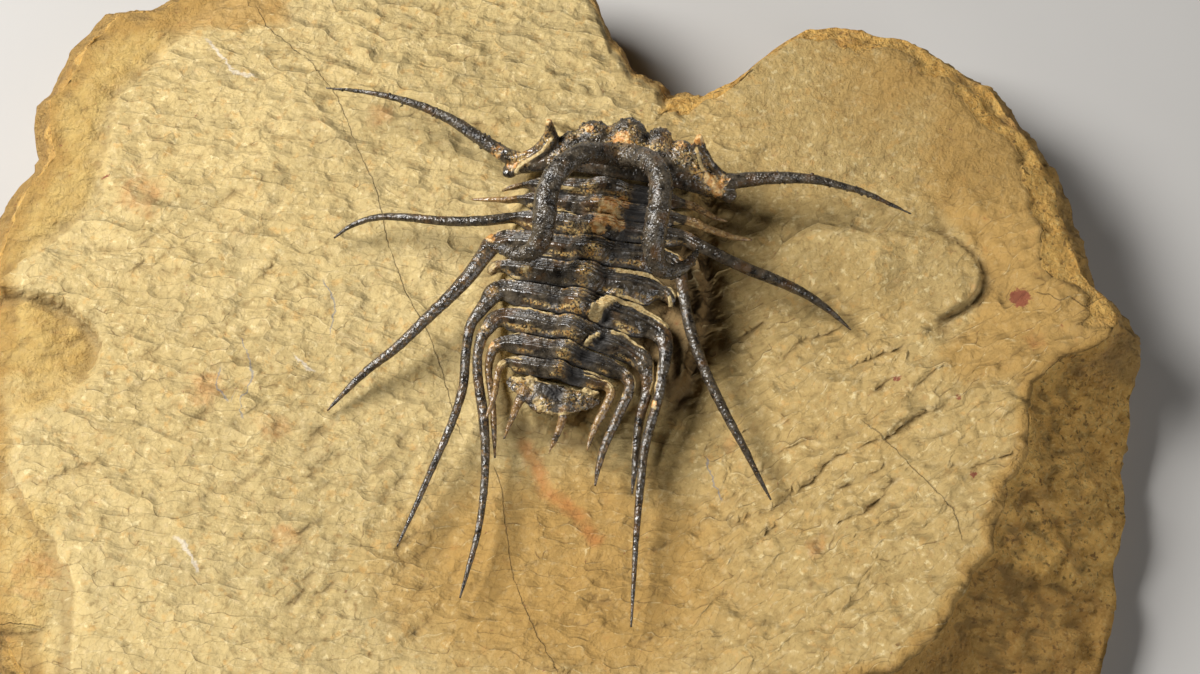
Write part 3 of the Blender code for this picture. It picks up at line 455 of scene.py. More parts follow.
def pen_facet_group():
    """Facets left by an air pen, each tilted and a little hollow, with masks for the painted shade and dirt
    at the foot of the steps between and for a painted highlight along their crests.
    """
    tree, given, result = group_tree(
        "pen_facet",
        [("Stroke Place", "NodeSocketVector", None), ("Depth", "NodeSocketFloat", 0.6)],
        [("Height", "NodeSocketFloat"), ("Step Shade And Dirt", "NodeSocketFloat"), ("Crest Highlight", "NodeSocketFloat")],
    )
    inputs = {"Vector": given["Stroke Place"], "Scale": 1.0}
    cells = put(tree, "ShaderNodeTexVoronoi", inputs, feature="F1", voronoi_dimensions="2D").outputs
    border = put(tree, "ShaderNodeTexVoronoi", inputs, feature="DISTANCE_TO_EDGE",
                 voronoi_dimensions="2D").outputs
    away = put(tree, "ShaderNodeVectorMath", {0: cells["Position"], 1: given["Stroke Place"]},
               operation="SUBTRACT").outputs[0]
    tilt = put(tree, "ShaderNodeSeparateXYZ", {0: away}).outputs[1]
    chance = put(tree, "ShaderNodeSeparateColor", {0: cells["Color"]}).outputs
    rise = times(tree, tilt, calculate(tree, "MULTIPLY_ADD", chance[1], 0.9, 0.4))
    rise = calculate(tree, "MULTIPLY_ADD", chance[0], 0.28, rise)
    inputs = {"Vector": given["Stroke Place"], "Scale": 1.7, "Detail": 2.0}
    rise = calculate(tree, "MULTIPLY_ADD", put(tree, "ShaderNodeTexNoise", inputs).outputs[0], 0.5, rise)
    rise = calculate(tree, "MULTIPLY_ADD", calculate(tree, "POWER", cells["Distance"], 2.0), 0.5, rise)
    tree.links.new(times(tree, rise, given["Depth"]), result["Height"])
    near_border = graded(tree, border["Distance"], 0.075, 0.0)
    foot = times(tree, near_border, graded(tree, tilt, 0.05, 0.3))
    tree.links.new(times(tree, foot, graded(tree, chance[2], 0.2, 0.65)), result["Step Shade And Dirt"])
    tree.links.new(times(tree, near_border, graded(tree, tilt, -0.1, -0.35)), result["Crest Highlight"])
    return tree


BROKEN_EDGE = broken_edge_group()
THIN_LINE = thin_line_group()
STONE_GRAIN = stone_grain_group()
PEN_FACET = pen_facet_group()


def ragged(tree, place, name, scale, raggedness, softness):
    """The mask that the mesh keeps under a name, with a ragged edge."""
    inputs = {"Mask": kept(tree, name), "Place": place, "Scale": scale}
    inputs.update({"Raggedness": raggedness, "Softness": softness})
    return use_group(tree, BROKEN_EDGE, inputs)["Mask"]


def thin_line(tree, place, name, width, waver):
    """A thin line where the distance that the mesh keeps under a name is near zero."""
    mark = put(tree, "ShaderNodeAttribute", attribute_name=name).outputs["Vector"]
    inputs = {"Mark": mark, "Place": place, "Width": width, "Waver": waver}
    return use_group(tree, THIN_LINE, inputs)["Mask"]


def stroke_place(tree, place, direction, length, width):
    """The place turned, wavered and scaled so that one pen stroke is one unit long and wide."""
    inputs = {"Vector": place, "Rotation": (0.0, 0.0, math.radians(-direction))}
    turned = put(tree, "ShaderNodeMapping", inputs, vector_type="POINT").outputs[0]
    turned = put(tree, "ShaderNodeVectorMath", {0: turned, 1: (1000 / length, 1000 / width, 1.0)},
                 operation="MULTIPLY").outputs[0]
    cloud = put(tree, "ShaderNodeTexNoise", {"Vector": place, "Scale": 230.0, "Detail": 1.0}).outputs[1]
    sway = put(tree, "ShaderNodeVectorMath", {0: cloud, 1: (1.3, 1.3, 0.0)}, operation="MULTIPLY").outputs[0]
    return put(tree, "ShaderNodeVectorMath", {0: turned, 1: sway}, operation="ADD").outputs[0]


def limestone():
    """Tan limestone: worked top, ochre weathering, brown broken faces, cracks, veins, stains, painted shade
    and highlights.
    """
    material, tree, shader, place = new_material("limestone_worked")
    grain = use_group(tree, STONE_GRAIN, {"Place": place, "Grain Scale": 1900.0})

    def facets(direction, length, width, slope=0.6):
        there = stroke_place(tree, place, direction, length, width)
        return use_group(tree, PEN_FACET, {"Stroke Place": there, "Depth": slope * width})

    def by_area(output):
        value = left[output]
        for share, other in ((in_front, front), (on_right, right)):
            value = put(tree, "ShaderNodeMix", {0: share, 2: value, 3: other[output]}).outputs[0]
        return value

    # Pen facets: short on the left, long and slanting on the right, level waves in front, fine all over
    left = facets(-9.0, 5.0, 2.1)
    right = facets(32.0, 6.5, 2.8, 0.85)
    front = facets(-3.0, 5.4, 2.3)
    fine = facets(58.0, 2.2, 1.2)
    fracture = ragged(tree, place, "fracture", 500.0, 0.35, 0.12)
    weathered = ragged(tree, place, "weathered", 200.0, 1.0, 0.25)
    worked = calculate(tree, "SUBTRACT", 1.0, calculate(tree, "MAXIMUM", fracture, kept(tree, "smooth")))
    on_right = kept(tree, "right_side")
    in_front = kept(tree, "front_side")
    patchy = graded(tree, cloudy(tree, place, 8.0), 0.42, 0.58, 0.15, 1.0)
    fine_height = times(tree, patchy, 0.5)
    facet_height = calculate(tree, "MULTIPLY_ADD", fine["Height"], fine_height, by_area("Height"))
    # Painted highlight along the facets' crests, and painted shade with some dirt at the foot of their steps
    crest = times(tree, by_area("Crest Highlight"), graded(tree, cloudy(tree, place, 1.8), 0.53, 0.62))
    crest = times(tree, crest, worked)
    fine_step = times(tree, fine["Step Shade And Dirt"], times(tree, patchy, 0.6))
    step = calculate(tree, "MAXIMUM", by_area("Step Shade And Dirt"), fine_step)
    step = times(tree, step, graded(tree, cloudy(tree, place, 2.2), 0.44, 0.58))
    step = times(tree, step, worked)

    # Colour, from the rock's own tan to what lies over it, with painted shade and highlights
    tan = mottled(tree, place, (0.62, 0.475, 0.215), (0.54, 0.405, 0.175), 26.0, 0.35, 0.65)
    tan = mottled(tree, place, tan, (0.67, 0.52, 0.25), 5.0, 0.5, 0.75, 0.5)
    tan = mottled(tree, place, tan, (0.44, 0.345, 0.17), 9.0, 0.54, 0.72, 0.5, 4.0)
    # Warmer and browner towards the right and the front: partly the rock's own colour, partly painted shade
    warm = ragged(tree, place, "warm", 90.0, 0.7, 0.4)
    tan = tinted(tree, warm, tan, (0.475, 0.315, 0.110))
    tan = tinted(tree, graded(tree, grain["Fleck"], 0.55, 0.72, 0.0, 0.6), tan, (0.72, 0.56, 0.29))
    tan = tinted(tree, graded(tree, grain["Fleck"], 0.44, 0.28, 0.0, 0.6), tan, (0.30, 0.19, 0.07))
    tan = mottled(tree, place, tan, (0.63, 0.37, 0.115), 1.9, 0.58, 0.68, 0.5, 4.0)
    tan = mottled(tree, place, tan, (0.86, 0.71, 0.38), 1.3, 0.60, 0.69, 0.6, 4.0)
    browner = ragged(tree, place, "browner", 120.0, 0.9, 0.3)
    colour = tinted(tree, times(tree, browner, 0.75), tan, (0.46, 0.27, 0.075))
    ochre = mottled(tree, place, (0.67, 0.46, 0.15), (0.55, 0.345, 0.098), 3.0, 0.35, 0.65)
    ochre = mottled(tree, place, ochre, (0.64, 0.45, 0.18), 1.2, 0.5, 0.7, 0.6, 4.0)
    colour = tinted(tree, times(tree, weathered, 0.85), colour, ochre)
    rim = ragged(tree, place, "rim", 260.0, 1.0, 0.25)
    colour = tinted(tree, times(tree, rim, 0.7), colour, (0.42, 0.235, 0.06))
    rust = mottled(tree, place, (0.94, 0.58, 0.165), (0.74, 0.41, 0.10), 2.2, 0.35, 0.65, 1.0, 5.0)
    rust = mottled(tree, place, rust, (0.93, 0.68, 0.27), 0.7, 0.54, 0.70, 0.65, 3.0)
    rust = mottled(tree, place, rust, (0.22, 0.11, 0.035), 1.0, 0.43, 0.32, 0.8, 3.0)
    rust = mottled(tree, place, rust, (0.36, 0.17, 0.09), 11.0, 0.57, 0.72, 0.4, 3.0)
    # Painted shade: the low part of the broken face and the slab's lower sides are darkened
    rust = tinted(tree, times(tree, kept(tree, "low_break"), 0.4), rust, (0.36, 0.185, 0.055))
    rust = tinted(tree, times(tree, kept(tree, "side"), 0.7), rust, (0.37, 0.235, 0.085))
    colour = tinted(tree, fracture, colour, rust)
    # Painted shade: the colour is darker in the top's hollows
    hollow = graded(tree, kept(tree, "hollow"), 0.02, 0.30)
    colour = tinted(tree, times(tree, hollow, 0.5), colour, (0.24, 0.155, 0.06))
    # Painted shade: the shoulder beside the animal, up to its wall, is darkened
    colour = tinted(tree, times(tree, kept(tree, "shoulder_shade"), 0.85), colour, (0.22, 0.14, 0.06))
    # Painted shade with some dirt at the foot of the facets' steps, and a painted highlight along their
    # crests
    colour = tinted(tree, times(tree, step, 0.78), colour, (0.15, 0.085, 0.03))
    colour = tinted(tree, times(tree, crest, 0.6), colour, (0.92, 0.77, 0.43))
    stained = ragged(tree, place, "stained", 420.0, 1.5, 0.35)
    colour = tinted(tree, times(tree, stained, 0.62), colour, (0.50, 0.19, 0.05))
    red = ragged(tree, place, "red", 1100.0, 2.2, 0.12)
    colour = tinted(tree, times(tree, red, 0.85), colour, (0.26, 0.06, 0.04))

    vein = thin_line(tree, place, "grey_vein", 0.26, 0.8)
    colour = tinted(tree, times(tree, vein, 0.7), colour, (0.24, 0.24, 0.25))
    streak = thin_line(tree, place, "white_streak", 0.5, 1.1)
    colour = tinted(tree, times(tree, streak, 0.5), colour, (0.80, 0.74, 0.66))
    crack = thin_line(tree, place, "crack", 0.15, 0.45)
    colour = tinted(tree, times(tree, crack, 0.42), colour, (0.14, 0.09, 0.04))
    tree.links.new(colour, shader.inputs["Base Color"])
    tree.links.new(graded(tree, grain["Fleck"], 0.3, 0.7, 0.92, 0.72), shader.inputs["Roughness"])
    shader.inputs["Specular IOR Level"].default_value = 0.3

    # Relief finer than the mesh: the facets on the worked top, grain all over, and the cracks
    coarse = cloudy(tree, place, 1.5, 6.0, 0.66)
    natural = calculate(tree, "MAXIMUM", fracture, times(tree, weathered, 0.55))
    natural = calculate(tree, "MAXIMUM", natural, times(tree, kept(tree, "smooth"), 0.4))
    rough = times(tree, coarse, graded(tree, natural, 0.0, 1.0, 0.22, 2.2))
    height = calculate(tree, "MULTIPLY_ADD", facet_height, worked, rough)
    height = calculate(tree, "MULTIPLY_ADD", grain["Height"], 0.24, height)
    height = calculate(tree, "SUBTRACT", height, times(tree, crack, 0.25))
    bump = put(tree, "ShaderNodeBump", {"Height": height, "Distance": MM, "Strength": 1.0})
    tree.links.new(bump.outputs[0], shader.inputs["Normal"])
    return material


LIMESTONE = limestone()


def round_the_slab(degrees):
    """In a direction from the slab's middle: reach of the widest line, top setback, widest height."""
    offsets = np.array(SLAB_OUTLINE) - SLAB_MIDDLE
    rim = np.array(SLAB_RIM)
    turns = np.degrees(np.arctan2(offsets[:, 1], offsets[:, 0]))
    reach = np.interp(degrees, turns, np.hypot(offsets[:, 0], offsets[:, 1]), period=360)
    inset, widest = (np.interp(degrees, rim[:, 0], rim[:, column]) for column in (1, 2))
    return reach, inset, widest


def build_slab():
    """The slab as one closed skin: top and broken faces in one net, rings below, flat underside."""
    a, b = (side.ravel() for side in np.meshgrid(*[np.linspace(-1, 1, SLAB_GRID)] * 2))
    radius = np.maximum(np.abs(a), np.abs(b))
    safe = np.maximum(radius, 1e-9)
    turn = np.where(
        np.abs(a) > np.abs(b),
        np.pi / 4 * b / np.where(a == 0, safe, a) + np.where(a < 0, np.pi, 0),
        np.pi / 2 - np.pi / 4 * a / np.where(b == 0, safe, b) + np.where(b < 0, np.pi, 0),
    )
    turn = np.remainder(turn + np.pi, 2 * np.pi) - np.pi
    reach, inset, widest = round_the_slab(np.degrees(turn))
    rim = level_points(np.cos(turn) * RIM_NOISE_REACH, np.sin(turn) * RIM_NOISE_REACH)
    chipped = 1.1 * lumpy(rim, 9.0) + 0.15 * lumpy(rim + 30.0, 3.0)
    reach = reach + chipped
    inset = np.maximum(1.5, inset + 0.8 * lumpy(rim - 20.0, 5.0) * np.minimum(1.0, inset / 8.0))
    top_reach = reach - inset
    inner = top_reach * (radius / TOP_SHARE) ** NET_CLOSENESS
    outer = top_reach + inset * (radius - TOP_SHARE) / (1 - TOP_SHARE)
    distance = np.where(radius <= TOP_SHARE, inner, outer)
    x = SLAB_MIDDLE[0] + distance * np.cos(turn)
    y = SLAB_MIDDLE[1] + distance * np.sin(turn)
    top = worked_top(x, y)
    top = top - 6.0 / (inset + 1.0) * ease((distance / top_reach - 0.93) / 0.07)
    share = np.clip((distance - top_reach) / inset, 0.0, 1.0)
    steps = np.array(FRACTURE_STEPS)
    drop = (top - widest) * np.interp(share, steps[:, 0], steps[:, 1])
    low_break = ease((-32.0 - 0.18 * (x - 73) - y) / 2.2) * ease((inset - 9) / 6) * ease(share / 0.05)
    lower_face = 4 * share * (1 - share) * low_break
    flat = level_points(x, y)
    broken = 1.15 * lumpy(flat, 7.0, 4) + 0.75 * lumpy(flat + 50.0, 2.4, 4)
    height = top - drop - 2.4 * lower_face + broken * ease(share / 0.08) * ease((1.04 - share) / 0.1)
    # On the right the top's skin has also flaked away in a band along the rim
    degrees = np.degrees(turn)
    right_rim = ease((degrees + 8) / 6) * ease((74 - degrees) / 10)
    band = ease((distance - top_reach + 5.0 + 2.6 * lumpy(flat - 15.0, 6.0, 3)) / 0.9) * right_rim
    height = height + band * (0.5 * lumpy(flat + 33.0, 3.2, 4) - 0.7) * (1 - share)
    spot = np.column_stack((x, y, height))
    push = 1.3 * lumpy(spot + 80.0, 4.0, 4) * ease(share / 0.25) * ease((1.0 - share) / 0.12)
    x = x + push * np.cos(turn)
    y = y + push * np.sin(turn)
    points = [np.column_stack((x, y, height))]

    last = SLAB_GRID - 1
    grid = np.arange(SLAB_GRID**2).reshape(SLAB_GRID, SLAB_GRID)
    quads = np.stack((grid[:-1, :-1], grid[:-1, 1:], grid[1:, 1:], grid[1:, :-1]), axis=-1).reshape(-1, 4)
    faces = quads.tolist()
    border = np.concatenate((grid[0, :], grid[1:, last], grid[last, :-1][::-1], grid[1:-1, 0][::-1]))
    count = len(border)
    edge_turn = turn[border]
    ring = border
    made = SLAB_GRID**2
    for number in range(1, LOW_RINGS + 1):
        part = number / LOW_RINGS
        low, ring_height = (np.interp(part, LOW_PROFILE[:, 0], LOW_PROFILE[:, column]) for column in (1, 2))
        edge_height = height[border]
        if ring_height >= 0:
            ring_z = LOW_EDGE + (edge_height - LOW_EDGE) * ring_height
        else:
            ring_z = np.full(count, LOW_EDGE * (1 + ring_height))
        rough_spot = level_points(np.cos(edge_turn) * RIM_NOISE_REACH, np.sin(edge_turn) * RIM_NOISE_REACH)
        rough_spot[:, 2] = ring_z * 1.4
        ledges = 1.5 * lumpy(rough_spot, 6.0, 4) + 0.5 * lumpy(rough_spot + 40.0, 2.2, 3)
        ledges = ledges * ease(part / 0.1) * ease((1.0 - part) / 0.2 + 0.3)
        ring_reach = reach[border] - low + ledges - 0.4
        ring_points = np.column_stack((
            SLAB_MIDDLE[0] + ring_reach * np.cos(edge_turn),
            SLAB_MIDDLE[1] + ring_reach * np.sin(edge_turn),
            ring_z,
        ))
        points.append(ring_points)
        below = made + np.arange(count)
        quads = np.stack((ring, below, np.roll(below, -1), np.roll(ring, -1)), axis=-1)
        faces += quads.tolist()
        ring = below
        made += count
    points.append(np.array([(*SLAB_MIDDLE, 0.0)]))
    faces += [(int(ring[index]), made, int(ring[(index + 1) % count])) for index in range(count)]
    points = np.concatenate(points)
    slab = mesh_piece("worked_slab", points, faces, LIMESTONE)

    # What the material needs to know of each place
    mesh = slab.data
    extra = len(points) - len(x)
    x, y = points[:, 0], points[:, 1]

    def below_too(values, value):
        return np.concatenate((values, np.full(extra, value)))

    shared = below_too(share, 1.0)
    banded = below_too(band, 1.0)
    # Masks for the painted shade on the slab's sides and on the low broken face
    side = ease((14.0 - inset) / 5) * ease(share / 0.5)
    paint(mesh, "low_break", below_too(low_break, 0.0))
    paint(mesh, "side", below_too(side, 1.0))
    paint(mesh, "fracture", np.maximum(ease((shared - 0.01) / 0.06), 0.8 * banded))
    left_edge = line_distance(x, y, LEFT_BREAK)[0]
    scoop = oval(x, y, SCOOP)
    scooped = ease((1.08 - scoop) / 0.3) * (0.55 + 0.4 * ease((y + 4) / 8))
    weathered = np.maximum(ease((-left_edge + 4) / 9), scooped)
    weathered = np.maximum(weathered, 0.6 * ease((-77 - x) / 8) * ease((-20 - y) / 6))
    rim_near = below_too(ease((radius / TOP_SHARE - 0.95) / 0.05), 1.0)
    paint(mesh, "weathered", np.maximum(weathered, 0.55 * rim_near))
    paint(mesh, "rim", np.maximum(0.75 * rim_near, 1.0 * ease((-x - 42) / 8) * ease((y - 57) / 6)))
    # Warmer and browner towards the right and the front, partly as painted shade
    right_ledge = np.hypot(x - 56, (y - 15) * 1.08)
    front = ease(1.35 - np.hypot((x - 2) / 34, (y + 36) / 22))
    paint(mesh, "warm", np.maximum(front, 0.62 * ease((x + 2) / 30)))
    browner = ease((x - 56) / 12) * ease((right_ledge - 13) / 4) * ease((y + 8) / 10) * ease((62 - y) / 20)
    browner = np.maximum(browner, 0.75 * ease((x - 30) / 30) * ease((y - 30) / 20))
    paint(mesh, "browner", np.maximum(browner, 0.8 * front))
    # Where the painted shade over the shoulder beside the animal goes
    wall, way = line_distance(x, y, SHOULDER_WALL)
    shoulder_shade = ease((1.5 - wall) / 1.5) * ease((SHOULDER_WIDTH + 3.0 + wall) / 3)
    paint(mesh, "shoulder_shade", shoulder_shade * ease(way / 0.1) * ease((1 - way) / 0.15))
    paint(mesh, "crack", thin_marks(x, y, CRACKS))
    paint(mesh, "grey_vein", thin_marks(x, y, GREY_VEINS))
    paint(mesh, "white_streak", thin_marks(x, y, WHITE_STREAKS))
    stained = ease((2.4 - np.abs(line_distance(x, y, STAIN)[0])) / 2.4) * 0.9
    for spot_x, spot_y, spot_size in ORANGE_SPOTS:
        stained = np.maximum(stained, 0.5 * ease(1.3 - np.hypot(x - spot_x, y - spot_y) / spot_size))
    paint(mesh, "stained", stained)
    red = np.zeros(x.shape)
    for spot_x, spot_y, spot_size in RED_SPOTS:
        red = np.maximum(red, ease(1.5 - np.hypot(x - spot_x, y - spot_y) / spot_size))
    paint(mesh, "red", red)
    paint(mesh, "right_side", ease((x - 14) / 12) * ease((34 - y) / 12))
    paint(mesh, "front_side", ease((-12 - y) / 12) * ease((x + 50) / 20))
    smooth_area = 0.9 - np.hypot((x - 46.5) / 13, (y - 17.5) / 8)
    smooth_area = np.maximum(smooth_area, 0.7 * ease((1.05 - scoop) / 0.1))
    smooth_area = np.maximum(smooth_area, 0.7 * ease((x - 24) / 12) * ease((y - 25) / 9))
    smooth_area = np.maximum(smooth_area, 0.6 * ease(1.3 - np.hypot((x - 60) / 12, (y - 16) / 8)))
    paint(mesh, "smooth", np.clip(np.maximum(smooth_area, 0.8 * ease((-left_edge + 2) / 2)), 0, 1))
    # How far each place of the top lies below its neighbours, for the painted shade in hollows
    level = height.reshape(SLAB_GRID, SLAB_GRID)
    around = level.copy()
    for step in (1, 2, 3):
        for axis in (0, 1):
            around = around + np.roll(level, step, axis) + np.roll(level, -step, axis)
    sunk = (around / 13 - level).ravel()
    paint(mesh, "hollow", below_too(sunk * ease((0.98 - radius) / 0.04), 0.0))
    return slab


worked_slab = build_slab()
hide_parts("matrix_slab")
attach(worked_slab, "root")

# The thorax
# Nine overlapping rings of black calcite shell. Each has a knobbed axial ring, two ribbed pleurae
# and a pair of long pleural spines. Tan matrix is still wedged along the rings' front edges.
SegmentShape = namedtuple("SegmentShape", "axis left_edge left_spine right_edge right_spine")
SEGMENTS = [
    SegmentShape(
        axis=(8.3, 26.9, 36.0),
        left_edge=(-5.6, 28.2, 32.9),
        left_spine=[(-7.2, 27.9, 32.8, 0.45), (-9.2, 27.4, 32.2, 0.16)],
        right_edge=(20.7, 25.0, 32.9),
        right_spine=[(22.5, 24.5, 32.8, 0.68), (24.5, 23.4, 32.6, 0.54), (26.1, 22.6, 32.3, 0.39),
                     (28.0, 22.2, 31.8, 0.16)],
    ),
    SegmentShape(
        axis=(7.5, 23.5, 36.5),
        left_edge=(-6.4, 25.8, 32.9),
        left_spine=[(-8.2, 25.6, 32.8, 0.59), (-10.0, 25.8, 32.4, 0.47), (-12.0, 26.0, 31.9, 0.36),
                    (-14.2, 26.2, 31.4, 0.16)],
        right_edge=(20.7, 22.1, 32.9),
        right_spine=[(22.7, 21.6, 32.8, 0.78), (24.8, 20.6, 32.6, 0.65), (27.1, 19.8, 32.3, 0.55),
                     (29.6, 19.2, 32.0, 0.42), (32.1, 19.0, 31.6, 0.16)],
    ),
    SegmentShape(
        axis=(6.7, 20.1, 36.8),
        left_edge=(-6.9, 22.6, 32.7),
        left_spine=[(-8.8, 22.4, 32.8, 0.91), (-10.5, 22.1, 32.9, 0.88), (-13.9, 21.9, 32.7, 0.85),
                    (-19.4, 22.2, 32.1, 0.78), (-25.1, 23.2, 31.0, 0.68), (-30.3, 23.6, 29.7, 0.55),
                    (-34.7, 22.4, 28.4, 0.39), (-37.2, 20.8, 27.5, 0.16)],
        right_edge=(20.8, 19.0, 32.7),
        right_spine=[(22.8, 17.9, 32.8, 1.22), (24.8, 16.8, 33.0, 1.04), (27.4, 15.4, 32.9, 1.01),
                     (31.0, 13.9, 32.2, 0.98), (36.6, 11.9, 31.1, 0.91), (40.8, 10.3, 29.6, 0.75),
                     (44.9, 7.8, 28.2, 0.52), (48.4, 4.9, 27.0, 0.16)],
    ),
    SegmentShape(
        axis=(5.5, 16.0, 37.0),
        left_edge=(-9.0, 18.6, 32.6),
        left_spine=[(-10.6, 18.0, 32.4, 1.75), (-12.1, 15.9, 32.5, 1.4), (-14.3, 12.8, 32.3, 1.27),
                    (-16.8, 10.0, 31.9, 1.12), (-21.0, 6.0, 31.0, 0.98), (-26.3, 1.1, 29.6, 0.82),
                    (-31.9, -3.0, 27.9, 0.65), (-35.2, -6.0, 26.5, 0.42), (-37.8, -8.6, 25.6, 0.16)],
        right_edge=(18.2, 15.4, 32.5),
        right_spine=[(19.7, 14.2, 32.4, 1.5), (20.3, 12.3, 32.3, 1.15), (20.8, 8.9, 32.1, 0.95),
                     (21.5, 4.7, 31.8, 0.98), (22.8, 0.2, 31.4, 0.93), (24.5, -4.2, 30.8, 0.86),
                     (27.0, -9.4, 29.9, 0.78), (30.7, -16.4, 28.8, 0.6), (33.0, -20.8, 27.6, 0.39),
                     (34.8, -24.0, 26.4, 0.16)],
    ),
    SegmentShape(
        axis=(4.4, 11.5, 36.8),
        left_edge=(-8.9, 14.3, 32.2),
        left_spine=[(-10.3, 14.1, 32.0, 1.0), (-10.9, 13.4, 31.8, 0.75), (-11.2, 13.0, 31.7, 0.39)],
        right_edge=(17.0, 9.8, 32.2),
        right_spine=[(18.2, 9.1, 32.1, 1.3), (18.7, 8.2, 31.9, 0.8), (18.8, 7.3, 31.7, 0.45)],
    ),
    SegmentShape(
        axis=(3.4, 6.9, 36.4),
        left_edge=(-8.8, 10.2, 32.1),
        left_spine=[(-10.4, 9.6, 32.0, 1.8), (-11.5, 8.1, 31.9, 1.3), (-13.2, 5.8, 31.8, 1.0),
                    (-14.2, 4.1, 31.7, 0.88), (-14.7, 1.7, 31.4, 0.83), (-15.0, -1.6, 31.1, 0.8),
                    (-15.2, -5.1, 30.7, 0.77), (-16.0, -8.5, 30.1, 0.73), (-17.6, -13.0, 29.3, 0.67),
                    (-20.2, -18.9, 28.2, 0.57), (-23.0, -25.4, 27.1, 0.42), (-25.9, -31.8, 26.2, 0.16)],
        right_edge=(15.2, 3.9, 32.1),
        right_spine=[(16.6, 3.0, 32.0, 1.9), (17.5, 1.4, 32.0, 1.45), (17.7, -0.8, 31.9, 1.12),
                     (17.4, -3.0, 31.8, 0.97), (17.0, -5.5, 31.6, 0.88), (16.5, -8.2, 31.3, 0.83),
                     (15.5, -11.6, 30.8, 0.8), (14.3, -16.1, 30.0, 0.76), (13.5, -23.0, 29.2, 0.67),
                     (12.8, -31.1, 28.2, 0.52), (12.4, -38.4, 27.3, 0.36), (12.0, -45.2, 26.4, 0.16)],
    ),
    SegmentShape(
        axis=(2.3, 2.5, 35.8),
        left_edge=(-8.9, 5.5, 31.9),
        left_spine=[(-10.4, 5.0, 31.8, 1.5), (-11.2, 3.9, 31.7, 1.2), (-12.2, 2.4, 31.6, 0.98),
                    (-12.7, 0.8, 31.5, 0.88), (-13.0, -1.0, 31.3, 0.82), (-13.0, -3.5, 31.0, 0.82),
                    (-12.7, -6.2, 30.7, 0.84), (-12.2, -9.4, 30.2, 0.84), (-11.7, -14.8, 29.6, 0.78),
                    (-11.7, -20.4, 28.8, 0.68), (-12.6, -28.9, 27.8, 0.55), (-14.6, -36.9, 27.0, 0.36),
                    (-15.6, -40.4, 26.4, 0.16)],
        right_edge=(12.4, -1.0, 31.9),
        right_spine=[(13.7, -1.8, 31.8, 1.9), (14.5, -3.3, 31.6, 1.35), (14.7, -5.4, 31.2, 1.0),
                     (14.4, -8.0, 30.6, 0.88), (13.7, -10.2, 29.9, 0.82), (13.1, -13.6, 29.0, 0.72),
                     (12.7, -18.3, 28.0, 0.59), (12.2, -23.2, 27.2, 0.16)],
    ),
    SegmentShape(
        axis=(1.3, -1.1, 35.0),
        left_edge=(-8.7, 1.1, 31.7),
        left_spine=[(-9.7, 0.8, 31.6, 1.17), (-10.5, 0.0, 31.3, 0.91), (-11.0, -1.6, 31.0, 0.74),
                    (-11.2, -3.3, 30.5, 0.62), (-10.9, -6.0, 30.1, 0.6), (-10.5, -8.9, 29.7, 0.55),
                    (-10.3, -12.2, 29.2, 0.47), (-10.1, -17.5, 28.4, 0.16)],
        right_edge=(10.3, -3.9, 31.7),
        right_spine=[(11.3, -4.7, 31.6, 1.1), (11.9, -6.0, 31.5, 0.91), (11.6, -7.5, 31.4, 0.85),
                     (10.7, -9.3, 31.1, 0.85), (9.5, -12.1, 30.8, 0.78), (7.8, -15.9, 30.5, 0.68),
                     (6.7, -19.6, 30.0, 0.49), (6.2, -22.5, 29.4, 0.16)],
    ),
    SegmentShape(
        axis=(0.3, -4.1, 34.2),
        left_edge=(-8.0, -2.1, 31.5),
        left_spine=[(-8.9, -2.5, 31.6, 0.72), (-9.5, -3.5, 31.8, 0.62), (-9.8, -5.3, 32.1, 0.53),
                    (-10.0, -7.3, 32.4, 0.5), (-10.7, -9.9, 32.5, 0.41), (-11.5, -11.9, 32.3, 0.16)],
        right_edge=(7.5, -5.9, 31.5),
        right_spine=[(8.5, -6.5, 31.4, 0.85), (8.8, -7.5, 31.3, 0.78), (8.3, -8.8, 31.2, 0.73),
                     (7.3, -10.8, 31.0, 0.68), (6.3, -12.7, 30.7, 0.59), (5.5, -14.7, 30.3, 0.46),
                     (4.9, -16.7, 30.0, 0.16)],
    ),
]
PYGIDIUM_AXIS = (-0.8, -7.1, 33.4)

# Share of the way from axis to pleural end, and share of the rise from that end to the axis
THORAX_PROFILE = [(0.0, 1.0), (0.13, 0.9), (0.24, 0.52), (0.34, 0.5), (0.6, 0.38), (0.84, 0.16)]
RING_GAP = 0.06
BEND_ROUNDNESS = (0.3, 0.65)
SPINE_HEIGHT = 1.15
FINE_STEP = 0.42

# Half section of a pleura: front foot, three ribs, crest, rear slope and rear foot, each point as a
# share of the width and a height in mm
PLEURA_SECTION = np.array([
    (-0.97, -0.75), (-1.00, -0.55), (-1.00, -0.34),
    (-0.97, -0.10), (-0.92, 0.10), (-0.85, 0.12), (-0.77, -0.16),
    (-0.70, 0.18), (-0.63, 0.44), (-0.56, 0.42), (-0.48, 0.06), (-0.41, 0.44), (-0.34, 0.70), (-0.26, 0.66),
    (-0.19, 0.30), (-0.12, 0.70), (-0.03, 1.00), (0.08, 1.08), (0.19, 0.96), (0.30, 0.72), (0.42, 0.46),
    (0.55, 0.22), (0.68, 0.00), (0.80, -0.20), (0.90, -0.36), (0.97, -0.50), (1.00, -0.62), (0.96, -0.75),
    (0.30, -0.78), (-0.30, -0.78),
])
# Grooves between its ribs, as shares of the width
RIB_GROOVES = (-0.77, -0.48, -0.19)
ROUND_TURNS = np.radians(np.concatenate((np.linspace(225, -45, 28), (-75, -105))))
ROUND_SECTION = np.column_stack((np.cos(ROUND_TURNS), np.sin(ROUND_TURNS)))

